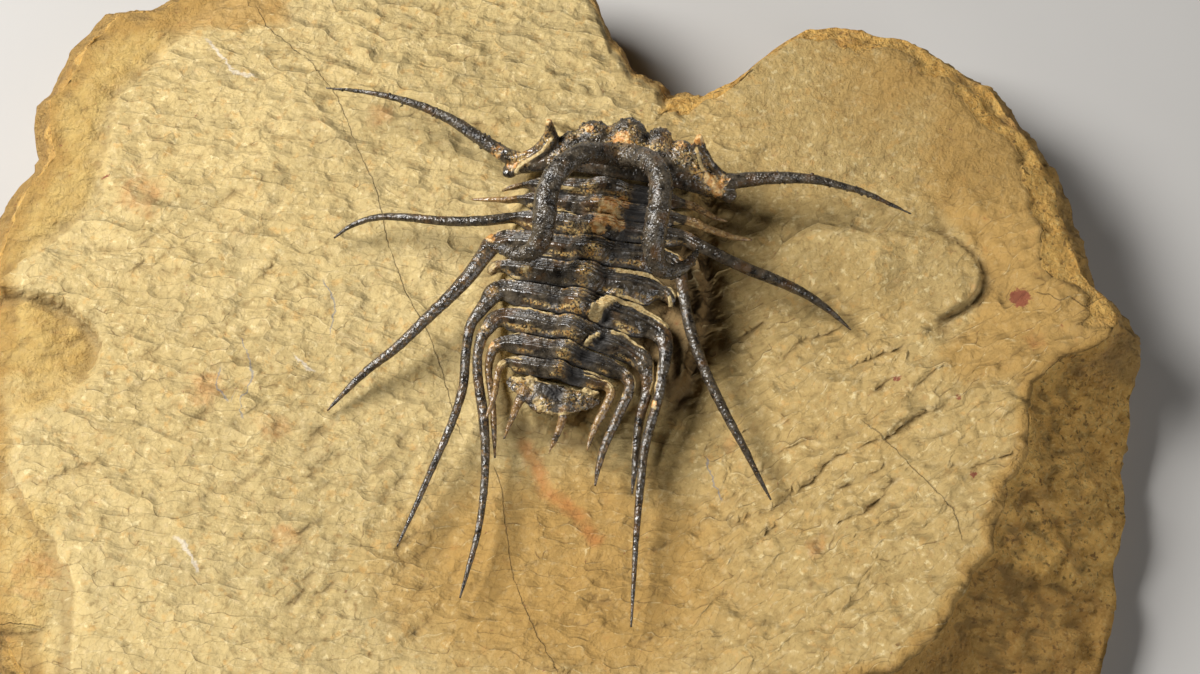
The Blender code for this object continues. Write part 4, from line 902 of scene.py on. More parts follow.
# How tan and how cream the left and the right spine of each ring are
SPINE_TINTS = [
    ((0.55, 0.5), (0.6, 0.45)), ((0.9, 0.35), (0.75, 0.5)),
    ((0.15, 0.25), (0.0, 0.0)), ((0.3, 0.0), (0.2, 0.0)),
    ((0.6, 0.5), (0.3, 0.3)), ((0.25, 0.0), (0.2, 0.0)),
    ((0.3, 0.0), (0.25, 0.1)), ((0.5, 0.3), (0.35, 0.3)),
    ((0.6, 0.45), (0.65, 0.5)),
]
# Cream matrix left along the rings' front edges: half width in mm, then plan points
CREAM_LINES = [
    (0.22, [(19.0, 21.4), (22.6, 20.8)]),
    (0.30, [(17.0, 17.1), (19.2, 16.6), (21.5, 15.6)]),
    (0.42, [(9.3, 12.7), (11.9, 12.6), (14.4, 12.3), (18.0, 11.5), (19.1, 10.1), (19.8, 8.5)]),
    (0.30, [(18.3, 8.9), (18.8, 6.4)]),
    (0.80, [(9.3, 8.2), (12.6, 7.3), (14.4, 6.5), (16.5, 5.5), (18.6, 3.8)]),
    (0.44, [(8.5, 2.5), (10.8, 2.5), (12.9, 1.1), (15.5, -0.2), (16.1, -1.9), (15.9, -5.5), (15.3, -7.9)]),
    (0.26, [(12.2, -3.2), (12.9, -5.5), (12.8, -8.1), (12.0, -10.1)]),
    (0.20, [(10.3, -5.7), (10.6, -8.2)]),
    (0.20, [(12.6, -8.5), (12.2, -12.9), (12.0, -18.0)]),
    (0.16, [(4.2, -3.8), (7.0, -4.5), (10.1, -5.4)]),
    (0.14, [(4.2, -4.6), (7.0, -5.3), (9.3, -5.9)]),
    (0.22, [(-0.2, 23.4), (3.1, 22.4)]),
    (0.24, [(-8.2, 23.6), (-6.0, 24.2), (-4.2, 24.4)]),
    (0.40, [(-11.0, 19.7), (-9.8, 20.5), (-8.6, 20.8)]),
    (0.20, [(0.4, 27.2), (3.7, 26.6)]),
    (0.18, [(-3.7, 15.5), (-0.7, 15.0)]),
    (0.24, [(-9.7, 12.7), (-7.8, 12.3), (-6.0, 11.9)]),
    (0.24, [(-9.7, 7.7), (-5.9, 6.9), (-3.3, 6.3), (-0.5, 5.3)]),
    (0.16, [(-9.3, 2.3), (-8.0, 2.7), (-6.2, 2.6)]),
    (0.20, [(-8.7, -1.3), (-7.2, -1.4), (-5.5, -2.2)]),
    (0.95, [(5.8, 3.9), (6.5, 5.4), (7.5, 6.7), (9.4, 8.1)]),
    (0.36, [(4.2, -0.2), (5.5, 0.9), (7.0, 2.0)]),
]
# Broken chips of matrix that stand up from the rings: half width, height, then plan points
RAISED_CHIPS = [
    (0.95, 1.25, [(5.8, 3.9), (6.5, 5.4), (7.5, 6.7), (9.4, 8.1)]),
    (0.42, 0.8, [(4.2, -0.2), (5.5, 0.9), (7.0, 2.0)]),
]
# Knobs and hollows of the axis: plan place, radius and height, all in mm
AXIS_LUMPS = [
    (5.9, 15.0, 1.5, 0.9), (4.6, 12.0, 1.3, 0.8),
    (3.9, 8.8, 1.2, 0.5), (2.9, 5.4, 1.3, 0.8), (2.3, 0.8, 1.2, 0.7),
    (1.0, -2.1, 1.1, 0.6), (0.5, -4.3, 1.0, 0.5), (5.4, 26.6, 1.2, 0.6), (8.0, 25.2, 2.2, 0.6),
    (7.8, 20.9, 1.9, 1.0), (5.4, 18.7, 1.2, 0.9), (9.0, 22.9, 1.3, 0.8),
    (1.8, 20.0, 0.9, 0.5), (10.6, 20.6, 0.9, 0.5),
    (-4.8, 2.8, 0.8, 0.4), (12.9, 22.7, 1.9, -0.9), (11.9, 19.0, 1.7, -0.9), (10.6, 15.6, 1.6, -0.6),
    (8.2, 11.2, 1.6, -0.6), (7.6, 4.4, 1.2, -1.0), (6.9, 1.2, 1.4, -0.9),
    (4.8, -1.3, 1.4, -0.9), (3.0, -5.4, 1.5, -0.7),
    (-0.6, 7.2, 1.4, -0.5), (-1.8, 2.6, 1.2, -0.5), (0.6, 26.2, 1.2, -0.6),
]
# Deep furrows that the light doesn't reach: plan place, radius and strength
DARK_FURROWS = [
    (13.6, 25.5, 1.9, 1.0), (12.9, 22.0, 2.3, 1.0),
    (12.0, 18.2, 1.9, 0.9), (10.2, 15.0, 1.5, 0.6), (7.8, 4.6, 1.3, 1.0),
    (7.2, 0.8, 1.6, 0.9), (5.0, -1.5, 2.0, 1.0), (3.0, -4.8, 2.1, 1.0),
    (0.4, 26.3, 1.3, 0.8), (1.0, 17.8, 1.3, 0.5),
    (-3.0, 9.6, 1.0, 0.5), (-4.0, -0.4, 1.0, 0.5),
    (-0.8, 7.2, 1.2, 0.5), (-1.8, 2.4, 1.2, 0.5), (8.0, 11.2, 1.5, 0.5),
]
# Orange calcite, gold flecks and cream patches: plan place, radius and strength
ORANGE_PATCHES = [
    (8.6, 22.9, 1.7, 1.0), (7.9, 21.2, 2.0, 1.0), (9.7, 20.6, 1.6, 1.0),
    (6.8, 19.6, 1.5, 0.9), (10.9, 24.2, 1.3, 0.85),
    (6.2, 24.2, 1.0, 0.6), (12.9, 1.1, 0.6, 0.9), (15.6, -9.3, 0.7, 0.9),
    (20.5, 15.5, 0.8, 0.7), (-10.9, 19.0, 1.1, 0.6),
    (-11.0, 0.8, 0.8, 0.7),
]
GOLD_FLECKS = [
    (5.9, 15.0, 1.5, 1.0), (4.6, 12.0, 1.5, 0.9),
    (3.9, 8.8, 1.4, 0.7), (2.9, 5.4, 1.4, 1.0), (2.3, 0.8, 1.3, 0.9),
    (1.1, -2.1, 1.1, 0.8), (0.6, -4.3, 1.1, 0.8), (-4.8, 2.8, 0.9, 0.7),
    (-5.3, 12.8, 1.1, 0.6), (-12.0, 3.3, 1.0, 0.8),
    (-11.0, 0.8, 0.9, 0.8), (1.8, 19.8, 1.0, 0.7), (5.2, 26.8, 1.2, 0.7),
    (11.4, 26.4, 1.3, 0.5), (4.2, 18.8, 1.3, 0.6),
    (-10.6, 9.6, 1.0, 0.6), (8.6, 22.6, 2.4, 0.8),
]
CREAM_PATCHES = [
    (-10.9, 14.0, 0.9, 0.8), (-5.2, 12.9, 0.7, 0.7),
    (-4.8, 2.9, 0.6, 0.6), (9.9, 22.3, 0.7, 0.6), (-9.0, -2.5, 0.8, 0.9),
    (11.6, -4.2, 0.8, 0.5), (8.8, -6.4, 0.8, 0.7), (15.8, -9.9, 0.6, 0.6),
    (20.4, 15.4, 0.6, 0.6), (-12.1, 3.5, 0.6, 0.5),
]


def smooth_rows(rows, steps):
    """Rows on a smooth curve through the given rows, one about every step along each stretch."""
    rows = np.array(rows, float)
    chord = np.linalg.norm(np.diff(rows[:, :3], axis=0), axis=1)
    station = np.concatenate([[0.0], np.cumsum(chord)])
    slope = np.gradient(rows, station, axis=0)
    out = [rows[0]]
    for index, length in enumerate(chord):
        count = max(1, round(length / steps[index]))
        for part in range(1, count + 1):
            t = part / count
            start = (2 * t**3 - 3 * t**2 + 1) * rows[index] + (t**3 - 2 * t**2 + t) * length * slope[index]
            end = (3 * t**2 - 2 * t**3) * rows[index + 1] + (t**3 - t**2) * length * slope[index + 1]
            out.append(start + end)
    return np.array(out)


def swept(rows, sections):
    """Points and faces of a closed skin through one ring at each row; sections is rows by corners."""
    centres = rows[:, :3]
    ahead = np.gradient(centres, axis=0)
    ahead /= np.linalg.norm(ahead, axis=1)[:, None]
    side = np.cross(ahead, (0.0, 0.0, 1.0))
    side /= np.linalg.norm(side, axis=1)[:, None]
    up = np.cross(side, ahead)
    points = centres[:, None] + side[:, None] * sections[:, :, :1] + up[:, None] * sections[:, :, 1:]
    rings, corners = points.shape[:2]
    index = np.arange(rings * corners).reshape(rings, corners)
    turned = np.roll(index, -1, axis=1)
    faces = np.stack((index[:-1], turned[:-1], turned[1:], index[1:]), axis=-1).reshape(-1, 4).tolist()
    faces.append(index[0].tolist())
    faces.append(index[-1].tolist())
    return points, faces


def lerp(start, end, share):
    """The point part of the way from start to end."""
    return np.array(start, float) + (np.array(end, float) - np.array(start, float)) * share


def pleura_reach(index, side, share):
    """Half widths ahead of and behind a ring's line, that leave a hair's gap to its neighbours."""

    def place(number):
        if number < 0:
            return None
        if number == len(SEGMENTS):
            shift = np.array(PYGIDIUM_AXIS) - np.array(SEGMENTS[-1].axis)
            return place(number - 1) + shift
        shape = SEGMENTS[number]
        return lerp(shape.axis, shape.left_edge if side < 0 else shape.right_edge, share)

    here = place(index)
    shape = SEGMENTS[index]
    outwards = np.array(shape.left_edge if side < 0 else shape.right_edge) - np.array(shape.axis)
    ahead = np.array([outwards[1], -outwards[0], 0.0]) * (1 if side < 0 else -1)
    ahead /= np.linalg.norm(ahead)
    behind_width = float(np.dot(here - place(index + 1), ahead)) / 2
    front = place(index - 1)
    ahead_width = behind_width if front is None else float(np.dot(front - here, ahead)) / 2
    return ahead_width - RING_GAP / 2, behind_width - RING_GAP / 2


def segment_rows(index):
    """Rows from left tip to right tip: place, half widths ahead and behind, radius, roundness, way out."""
    shape = SEGMENTS[index]

    def half(side, edge, spine):
        rows = []
        for share, rise in THORAX_PROFILE:
            x, y, _ = lerp(shape.axis, edge, share)
            height = edge[2] + (shape.axis[2] - edge[2]) * rise
            front, rear = pleura_reach(index, side, share)
            rows.append((x, y, height, front, rear, spine[0][3], 0.0, side * share))
        front, rear = pleura_reach(index, side, 1.0)
        broad = 1.1 * spine[0][3]
        rows.append((*edge, min(front, broad), min(rear, broad), spine[0][3], BEND_ROUNDNESS[0], side * 1.0))
        for number, (x, y, z, wide) in enumerate(spine):
            way = 1 + (number + 1) / len(spine)
            rows.append((x, y, z, wide, wide, wide, BEND_ROUNDNESS[1] if number == 0 else 1.0, side * way))
        return rows

    left = half(-1, shape.left_edge, shape.left_spine)
    right = half(1, shape.right_edge, shape.right_spine)
    rows = left[:0:-1] + right
    return smooth_rows(rows, [FINE_STEP] * len(rows))


def lifted(points, upper):
    """The points with the axis knobs and chips raised and the hollows sunk, where they face up."""
    for x, y, radius, height in AXIS_LUMPS:
        distance = ((points[:, 0] - x) ** 2 + (points[:, 1] - y) ** 2) / radius**2
        points[:, 2] += height * np.exp(-distance) * upper
    for half_width, height, line in RAISED_CHIPS:
        distance = np.abs(line_distance(points[:, 0], points[:, 1], line)[0]) / half_width
        points[:, 2] += height * ease((1.35 - distance) / 0.5) * upper
    return points


def patches(points, spots):
    """How far each point lies inside the nearest of some round soft patches, from 0 to 1."""
    value = np.zeros(len(points))
    for x, y, radius, strength in spots:
        distance = np.hypot(points[:, 0] - x, points[:, 1] - y) / radius
        value = np.maximum(value, strength * ease(1.45 - distance))
    return value


def along_lines(points, lines):
    """How far each point lies inside the nearest of some soft lines of given half widths, from 0 to 1."""
    value = np.zeros(len(points))
    for half_width, line in lines:
        distance, share = line_distance(points[:, 0], points[:, 1], line)
        ends = np.minimum(ease(share / 0.06 + 0.2), ease((1 - share) / 0.06 + 0.2))
        value = np.maximum(value, ease((half_width + 0.12 - np.abs(distance)) / 0.24) * ends)
    return value


def shell_speckle_group():
    """Fine relief of a glossy calcite shell: close granules, faint pits and the colour of their tops."""
    tree, given, result = group_tree(
        "shell_speckle",
        [("Place", "NodeSocketVector", None), ("Granule Scale", "NodeSocketFloat", 1800.0)],
        [("Height", "NodeSocketFloat"), ("Worn", "NodeSocketFloat")],
    )
    inputs = {"Vector": given["Place"], "Scale": given["Granule Scale"], "Smoothness": 0.35}
    granule = put(tree, "ShaderNodeTexVoronoi", inputs, feature="SMOOTH_F1").outputs["Distance"]
    knob = graded(tree, granule, 0.55, 0.1)
    fine = cloudy(tree, given["Place"], 0.3, 3.0, 0.6)
    height = calculate(tree, "ADD", knob, times(tree, fine, 0.9))
    tree.links.new(height, result["Height"])
    tree.links.new(times(tree, knob, cloudy(tree, given["Place"], 1.6)), result["Worn"])
    return tree


SHELL_SPECKLE = shell_speckle_group()


def fossil_shell():
    """Black glossy calcite shell, worn on its knobs, with orange and gold calcite and cream matrix on it, and
    painted shade in its furrows.
    """
    material, tree, shader, place = new_material("fossil_shell_black")
    speckle = use_group(tree, SHELL_SPECKLE, {"Place": place, "Granule Scale": 1900.0})
    shade = graded(tree, cloudy(tree, place, 1.4, 4.0), 0.38, 0.66)
    black = tinted(tree, shade, (0.020, 0.016, 0.012), (0.120, 0.096, 0.066))
    worn = graded(tree, speckle["Worn"], 0.3, 0.6, 0.0, 0.45)
    black = tinted(tree, worn, black, (0.18, 0.138, 0.088))
    brown = graded(tree, cloudy(tree, place, 3.4, 4.0), 0.54, 0.68, 0.0, 0.75)
    colour = tinted(tree, brown, black, (0.135, 0.070, 0.027))
    broken_up = graded(tree, cloudy(tree, place, 0.42, 3.0, 0.65), 0.45, 0.55)
    gold = times(tree, kept(tree, "gold"), broken_up)
    flecks = mottled(tree, place, (0.52, 0.28, 0.075), (0.72, 0.52, 0.22), 0.9, 0.4, 0.6)
    colour = tinted(tree, gold, colour, flecks)
    tan = ragged(tree, place, "tan", 1300.0, 1.6, 0.2)
    horny = mottled(tree, place, (0.44, 0.265, 0.105), (0.20, 0.105, 0.038), 0.8, 0.35, 0.65)
    colour = tinted(tree, times(tree, tan, 0.9), colour, horny)
    orange = ragged(tree, place, "orange", 1700.0, 1.5, 0.14)
    calcite = mottled(tree, place, (0.92, 0.47, 0.125), (0.52, 0.20, 0.045), 0.7, 0.35, 0.65)
    calcite = mottled(tree, place, calcite, (0.98, 0.70, 0.32), 1.1, 0.46, 0.60)
    colour = tinted(tree, times(tree, orange, 0.9), colour, calcite)
    cream = ragged(tree, place, "cream", 2300.0, 1.0, 0.14)
    chalk = mottled(tree, place, (0.70, 0.55, 0.27), (0.42, 0.27, 0.09), 0.5, 0.35, 0.65)
    colour = tinted(tree, cream, colour, chalk)
    # Painted shade: furrows, gaps between rings and grooves between ribs are darkened to near black
    furrow_shade = kept(tree, "furrow_shade")
    colour = tinted(tree, times(tree, furrow_shade, 0.9), colour, (0.008, 0.006, 0.005))
    tree.links.new(colour, shader.inputs["Base Color"])
    stone = calculate(tree, "MAXIMUM", cream, times(tree, orange, 0.45))
    stone = calculate(tree, "MAXIMUM", stone, furrow_shade)
    gloss = graded(tree, cloudy(tree, place, 1.1, 4.0), 0.35, 0.65, 0.13, 0.36)
    roughness = put(tree, "ShaderNodeMix", {0: stone, 2: gloss, 3: 0.78}).outputs[0]
    tree.links.new(roughness, shader.inputs["Roughness"])
    shader.inputs["Specular IOR Level"].default_value = 0.85
    granular = times(tree, kept(tree, "granular"), 0.75)
    height = times(tree, speckle["Height"], granular)
    swell = graded(tree, kept(tree, "granular"), 0.1, 0.8, 2.6, 1.3)
    height = calculate(tree, "MULTIPLY_ADD", cloudy(tree, place, 1.15, 3.0, 0.5), swell, height)
    bump = put(tree, "ShaderNodeBump", {"Height": height, "Distance": 0.19 * MM, "Strength": 1.0})
    tree.links.new(bump.outputs[0], shader.inputs["Normal"])
    return material


FOSSIL_SHELL = fossil_shell()


def build_segment(index):
    """One thoracic ring with its pleurae and spines, as one closed skin."""
    rows = segment_rows(index)
    ahead, behind, radius, roundness, way = (rows[:, column, None] for column in range(3, 8))
    roundness = np.clip(roundness, 0.0, 1.0)
    pleura = np.repeat(PLEURA_SECTION[None], len(rows), axis=0)
    pleura[:, :, 0] *= np.where(PLEURA_SECTION[None, :, 0] < 0, ahead, behind)
    ring = ROUND_SECTION[None] * np.stack((radius, np.minimum(radius, SPINE_HEIGHT)), axis=-1)
    sections = pleura * (1 - roundness[:, :, None]) + ring * roundness[:, :, None]
    points, faces = swept(rows, sections)
    shape = points.shape[:2]
    points = points.reshape(-1, 3)
    upper = np.clip(np.broadcast_to(PLEURA_SECTION[None, :, 1] + 0.6, shape).ravel(), 0, 1)
    upper = upper * (1 - np.broadcast_to(roundness, shape).ravel())
    faces_up = np.broadcast_to((ROUND_SECTION[None, :, 1] > -0.3) * 1.0, shape).ravel()
    lines = along_lines(points, CREAM_LINES) * faces_up
    points = lifted(points, upper)
    points[:, 2] += 0.16 * lines
    roundness = np.broadcast_to(roundness, shape).ravel()
    way = np.broadcast_to(way, shape).ravel()
    centres = np.repeat(rows[:, :3], shape[1], axis=0)
    outwards = points - centres
    outwards /= np.maximum(np.linalg.norm(outwards, axis=1)[:, None], 1e-6)
    thick = np.broadcast_to(radius, shape).ravel()
    bits = patches(points, ORANGE_PATCHES[:5]) * upper
    grain = (0.07 + 0.3 * bits) * lumpy(points, 1.1, 3) + 0.12 * lumpy(points + 9.0, 2.6, 2) * (1 - roundness)
    grain += 0.22 * np.clip(lines, 0, 1) * lumpy(points + 3.0, 0.8, 2)
    points = points + outwards * (grain * np.minimum(1.0, thick / 0.5))[:, None]
    piece = mesh_piece("thorax_ring_%d" % (index + 1), points, faces, FOSSIL_SHELL)

    # Painted shade in the gaps between rings and the grooves between ribs, and gold left along the ribs'
    # edges
    across = np.broadcast_to(PLEURA_SECTION[None, :, 0], shape).ravel()
    flat_part = (1 - roundness) * (1 - np.clip(lines * 1.5, 0, 1))
    gaps = ease((np.abs(across) - 0.86) / 0.1)
    for groove in RIB_GROOVES:
        gaps = np.maximum(gaps, 0.75 * ease(1.2 - np.abs(across - groove) / 0.06))
    furrow_shade = np.maximum(gaps, patches(points, DARK_FURROWS)) * flat_part
    clumps = ease(lumpy(points + 21.0, 3.4, 2) * 2.6 + 0.4)
    edge_gold = np.maximum(ease(1.3 - np.abs(across + 0.84) / 0.08), ease(1.3 - np.abs(across - 0.62) / 0.16))
    gold = np.maximum(patches(points, GOLD_FLECKS), 0.95 * edge_gold * clumps * (1 - roundness)) * faces_up
    tint = SPINE_TINTS[index]
    out = ease((np.abs(way) - 0.97) / 0.12)
    tan = out * np.where(way < 0, tint[0][0], tint[1][0])
    cream = out * np.where(way < 0, tint[0][1], tint[1][1])
    tip = ease((np.abs(way) - 1.9) / 0.08) * 0.15
    paint(piece.data, "tan", tan)
    paint(piece.data, "orange", np.maximum(tip, patches(points, ORANGE_PATCHES) * faces_up))
    cream = np.maximum(cream * 0.7, lines)
    paint(piece.data, "cream", np.maximum(cream, patches(points, CREAM_PATCHES) * 0.9 * faces_up))
    paint(piece.data, "gold", gold)
    paint(piece.data, "furrow_shade", furrow_shade)
    paint(piece.data, "granular", 0.15 + 0.35 * roundness)
    return piece


for segment in range(len(SEGMENTS)):
    ring_piece = build_segment(segment)
    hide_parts("thorax_segment_%d" % (segment + 1))
    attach(ring_piece, "root")

# The head shield
# One piece of shell: a lobed and tuberculate glabella, two eye stalks, two genal spines, and the two
# stout occipital horns that rise over the back of the head and curl down and out over the thorax.
HEAD_LINE = [
    (-8.9, 30.7, 32.4, 0.7), (-6.4, 31.7, 33.2, 1.7), (-2.5, 32.3, 34.4, 2.3), (2.5, 32.8, 35.6, 3.3),
    (6.5, 33.0, 36.2, 4.2), (10.5, 32.7, 36.5, 4.6), (14.8, 31.6, 36.2, 4.2), (19.2, 30.2, 35.6, 3.3),
    (23.3, 28.6, 34.4, 2.4), (26.8, 27.3, 33.2, 1.6), (28.9, 25.6, 32.4, 0.7),
]
HEAD_THICKNESS = 1.9
FULL_THICKNESS_FROM = 2.4
# Glabella and cheek lobes, and the corners: centre, then half sizes across, along and up
HEAD_LOBES = [
    ((11.7, 35.4, 36.9), (3.1, 3.0, 2.7)),
    ((6.0, 35.4, 36.4), (3.1, 2.7, 2.4)),
    ((16.9, 34.0, 36.6), (2.2, 2.8, 2.3)),
    ((2.4, 34.1, 36.0), (2.2, 2.3, 1.9)),
    ((20.3, 32.3, 35.9), (2.5, 2.6, 2.1)),
    ((-0.6, 33.0, 35.4), (1.5, 1.3, 1.2)),
    ((10.8, 32.4, 37.4), (3.6, 2.4, 2.1)),
    ((-3.3, 31.2, 34.4), (2.9, 1.2, 1.2)),
    ((23.3, 28.2, 34.4), (2.8, 1.5, 1.3)),
    ((-7.9, 30.3, 33.0), (1.2, 1.0, 0.8)),
    ((28.4, 26.6, 32.8), (1.2, 1.3, 0.8)),
]
EYE_STALKS = [
    [(0.0, 33.6, 35.4), (-0.7, 34.6, 37.2), (-1.2, 35.8, 39.4), (-1.4, 36.6, 40.8)],
    [(22.0, 31.8, 35.4), (22.8, 32.6, 37.2), (23.2, 33.4, 39.4), (23.2, 33.9, 40.8)],
]
EYE_RADII = (1.5, 0.5)
# Ridges that run from each eye stalk out to the genal spine, and the suture ridges behind them
CHEEK_RIDGES = [
    [(-1.2, 35.6, 39.2), (-2.0, 34.6, 37.6), (-3.2, 33.6, 36.2),
     (-5.2, 32.8, 35.0), (-7.6, 32.6, 34.0), (-10.0, 33.8, 33.8)],
    [(23.3, 33.2, 39.2), (24.2, 32.0, 37.6), (25.4, 30.6, 36.0),
     (27.1, 29.3, 34.7), (29.3, 28.6, 33.9), (32.0, 28.9, 33.8)],
    [(-0.8, 34.4, 38.2), (-2.5, 32.6, 36.4), (-4.2, 31.8, 35.4), (-6.2, 30.9, 34.4), (-6.9, 30.0, 33.6)],
    [(22.8, 32.2, 38.2), (23.6, 30.1, 36.6), (24.9, 28.5, 35.4), (26.2, 27.2, 34.4), (27.0, 26.0, 33.6)],
]
CHEEK_RIDGE_RADII = (0.75, 0.65)
GENAL_SPINES = [
    [(-4.6, 32.2, 33.4), (-7.6, 32.8, 33.5), (-10.2, 34.2, 33.8), (-14.1, 36.8, 34.1), (-17.4, 39.0, 34.4),
     (-21.1, 41.0, 34.2), (-25.3, 42.7, 33.9), (-29.3, 44.1, 33.1), (-34.8, 45.4, 32.1), (-39.0, 46.2, 31.0)],
    [(25.0, 28.6, 33.4), (28.2, 28.6, 33.5), (32.1, 28.9, 33.8), (35.6, 29.0, 34.1), (39.2, 28.9, 34.4),
     (42.8, 28.6, 34.2), (46.5, 27.8, 33.8), (50.8, 26.8, 33.0), (55.0, 25.3, 31.6), (58.7, 24.1, 30.0)],
]
GENAL_RADII = (1.5, 0.2)
# The two horns, from the left tip over the back of the head to the right tip, with radius
OCCIPITAL_HORNS = [
    (-11.6, 15.7, 38.8, 0.35), (-8.4, 14.4, 39.9, 1.0), (-6.0, 13.3, 40.8, 1.25), (-3.8, 13.6, 42.0, 1.6),
    (-2.5, 15.2, 43.4, 1.8), (-2.0, 17.8, 45.0, 1.9), (-1.7, 21.1, 46.0, 1.9), (-0.6, 24.4, 46.4, 1.85),
    (1.5, 27.1, 46.0, 1.8), (4.2, 29.4, 44.5, 1.75), (7.0, 30.4, 41.9, 1.8), (10.1, 30.7, 40.2, 2.0),
    (12.7, 29.9, 41.9, 1.85), (15.3, 27.7, 44.5, 1.85), (16.7, 24.5, 46.0, 1.9), (16.7, 20.9, 46.4, 1.9),
    (16.2, 17.5, 46.0, 1.9), (15.7, 14.1, 45.0, 1.85), (15.9, 11.7, 43.4, 1.7), (17.0, 10.3, 42.0, 1.5),
    (19.0, 10.4, 40.8, 1.25), (21.1, 11.8, 39.9, 0.95), (23.1, 15.1, 38.8, 0.35),
]
HORN_DENT = ((-1.0, 23.6, 47.9), 1.3, 0.45)
HEAD_GRAIN = 0.21
HEAD_CREAM = [
    [(-0.8, 34.4), (-2.5, 32.6), (-4.2, 31.8), (-6.2, 30.9), (-6.9, 30.0), (-5.4, 29.4)],
    [(22.8, 32.2), (23.4, 30.6), (23.9, 29.4)],
]
HEAD_ORANGE = [
    (-1.4, 36.6, 1.0, 0.7), (23.3, 33.9, 1.2, 1.0),
    (10.6, 33.6, 1.8, 0.75), (5.2, 36.0, 0.9, 0.6), (25.2, 28.2, 1.2, 0.9),
    (26.4, 26.9, 1.2, 0.9), (-7.6, 31.2, 1.1, 0.55), (20.6, 33.6, 1.0, 0.5),
    (-10.0, 33.6, 1.3, 0.5), (27.4, 28.4, 1.2, 0.5),
]
HEAD_GOLD = [
    (-6.2, 32.2, 1.8, 0.85), (-2.1, 34.4, 1.6, 0.8),
    (23.5, 29.7, 1.8, 0.9), (25.7, 27.0, 1.8, 0.9), (0.2, 31.2, 1.8, 0.6),
    (10.8, 32.6, 2.8, 0.7), (20.6, 31.4, 1.6, 0.5),
]
WHITE_TUBERCLE = (17.2, 37.0, 0.7, 1.0)


def joined(parts):
    """One list of points and faces from several."""
    points = []
    faces = []
    made = 0
    for part_points, part_faces in parts:
        flat = part_points.reshape(-1, 3)
        points.append(flat)
        faces += [[corner + made for corner in face] for face in part_faces]
        made += len(flat)
    return np.concatenate(points), faces


def tapered(points, radii):
    """Path points with a radius that goes evenly from the first value to the second."""
    shares = np.linspace(0.0, 1.0, len(points))
    return [(*point, radii[0] + (radii[1] - radii[0]) * share) for point, share in zip(points, shares)]


def round_ring(corners):
    """Corners of a circle of radius 1, as one section of a swept body."""
    turns = np.linspace(0, 2 * np.pi, corners, endpoint=False)
    return np.column_stack((np.cos(turns), np.sin(turns)))[None]


def round_sweep(rows, step, corners=24):
    """A round tapered body along a path whose rows are place and radius."""
    rows = smooth_rows(rows, [step] * len(rows))
    return swept(rows, round_ring(corners) * rows[:, 3, None, None])


def shield_plate(line, step, corners, thickness):
    """A shield's own plate along a line whose rows are place and half width, thinner where it is narrow."""
    rows = smooth_rows(line, [step] * len(line))
    thickness = thickness * np.minimum(1.0, rows[:, 3] / FULL_THICKNESS_FROM)
    return swept(rows, round_ring(corners) * np.stack((rows[:, 3], thickness), axis=-1)[:, None])


def lobe(centre, half_sizes):
    """A smooth egg-shaped lobe."""
    shape = bmesh.new()
    bmesh.ops.create_icosphere(shape, subdivisions=4, radius=1.0)
    points = np.array([corner.co[:] for corner in shape.verts]) * half_sizes + centre
    faces = [[corner.index for corner in face.verts] for face in shape.faces]
    shape.free()
    return points, faces


def grown_together(name, parts, grain):
    """One skin round all the parts, as fine as the grain in mm, with soft creases between them."""
    points, faces = joined(parts)
    rough_piece = mesh_piece(name, points, faces, FOSSIL_SHELL)
    merge = rough_piece.modifiers.new("merge", "REMESH")
    merge.mode = "VOXEL"
    merge.voxel_size = grain * MM
    depsgraph = bpy.context.evaluated_depsgraph_get()
    mesh = bpy.data.meshes.new_from_object(rough_piece.evaluated_get(depsgraph))
    bpy.data.objects.remove(rough_piece)
    shape = bmesh.new()
    shape.from_mesh(mesh)
    every_way = {"use_axis_x": True, "use_axis_y": True, "use_axis_z": True}
    bmesh.ops.smooth_vert(shape, verts=shape.verts, factor=0.5, **every_way)
    shape.normal_update()
    normals = np.array([corner.normal[:] for corner in shape.verts])
    skin = np.array([corner.co[:] for corner in shape.verts]) / MM + ORIGIN
    faces = [[corner.index for corner in face.verts] for face in shape.faces]
    shape.free()
    bpy.data.meshes.remove(mesh)
    return skin, normals, faces


def nearness(points, path, reach):
    """How near each point is to a path in space, 1 on it and 0 beyond the reach."""
    path = smooth_rows([(*row[:3], 0.0) for row in path], [0.6] * len(path))[:, :3]
    value = np.full(len(points), 1e9)
    for spot in path:
        value = np.minimum(value, ((points - spot) ** 2).sum(axis=1))
    return ease(1.5 - np.sqrt(value) / reach)


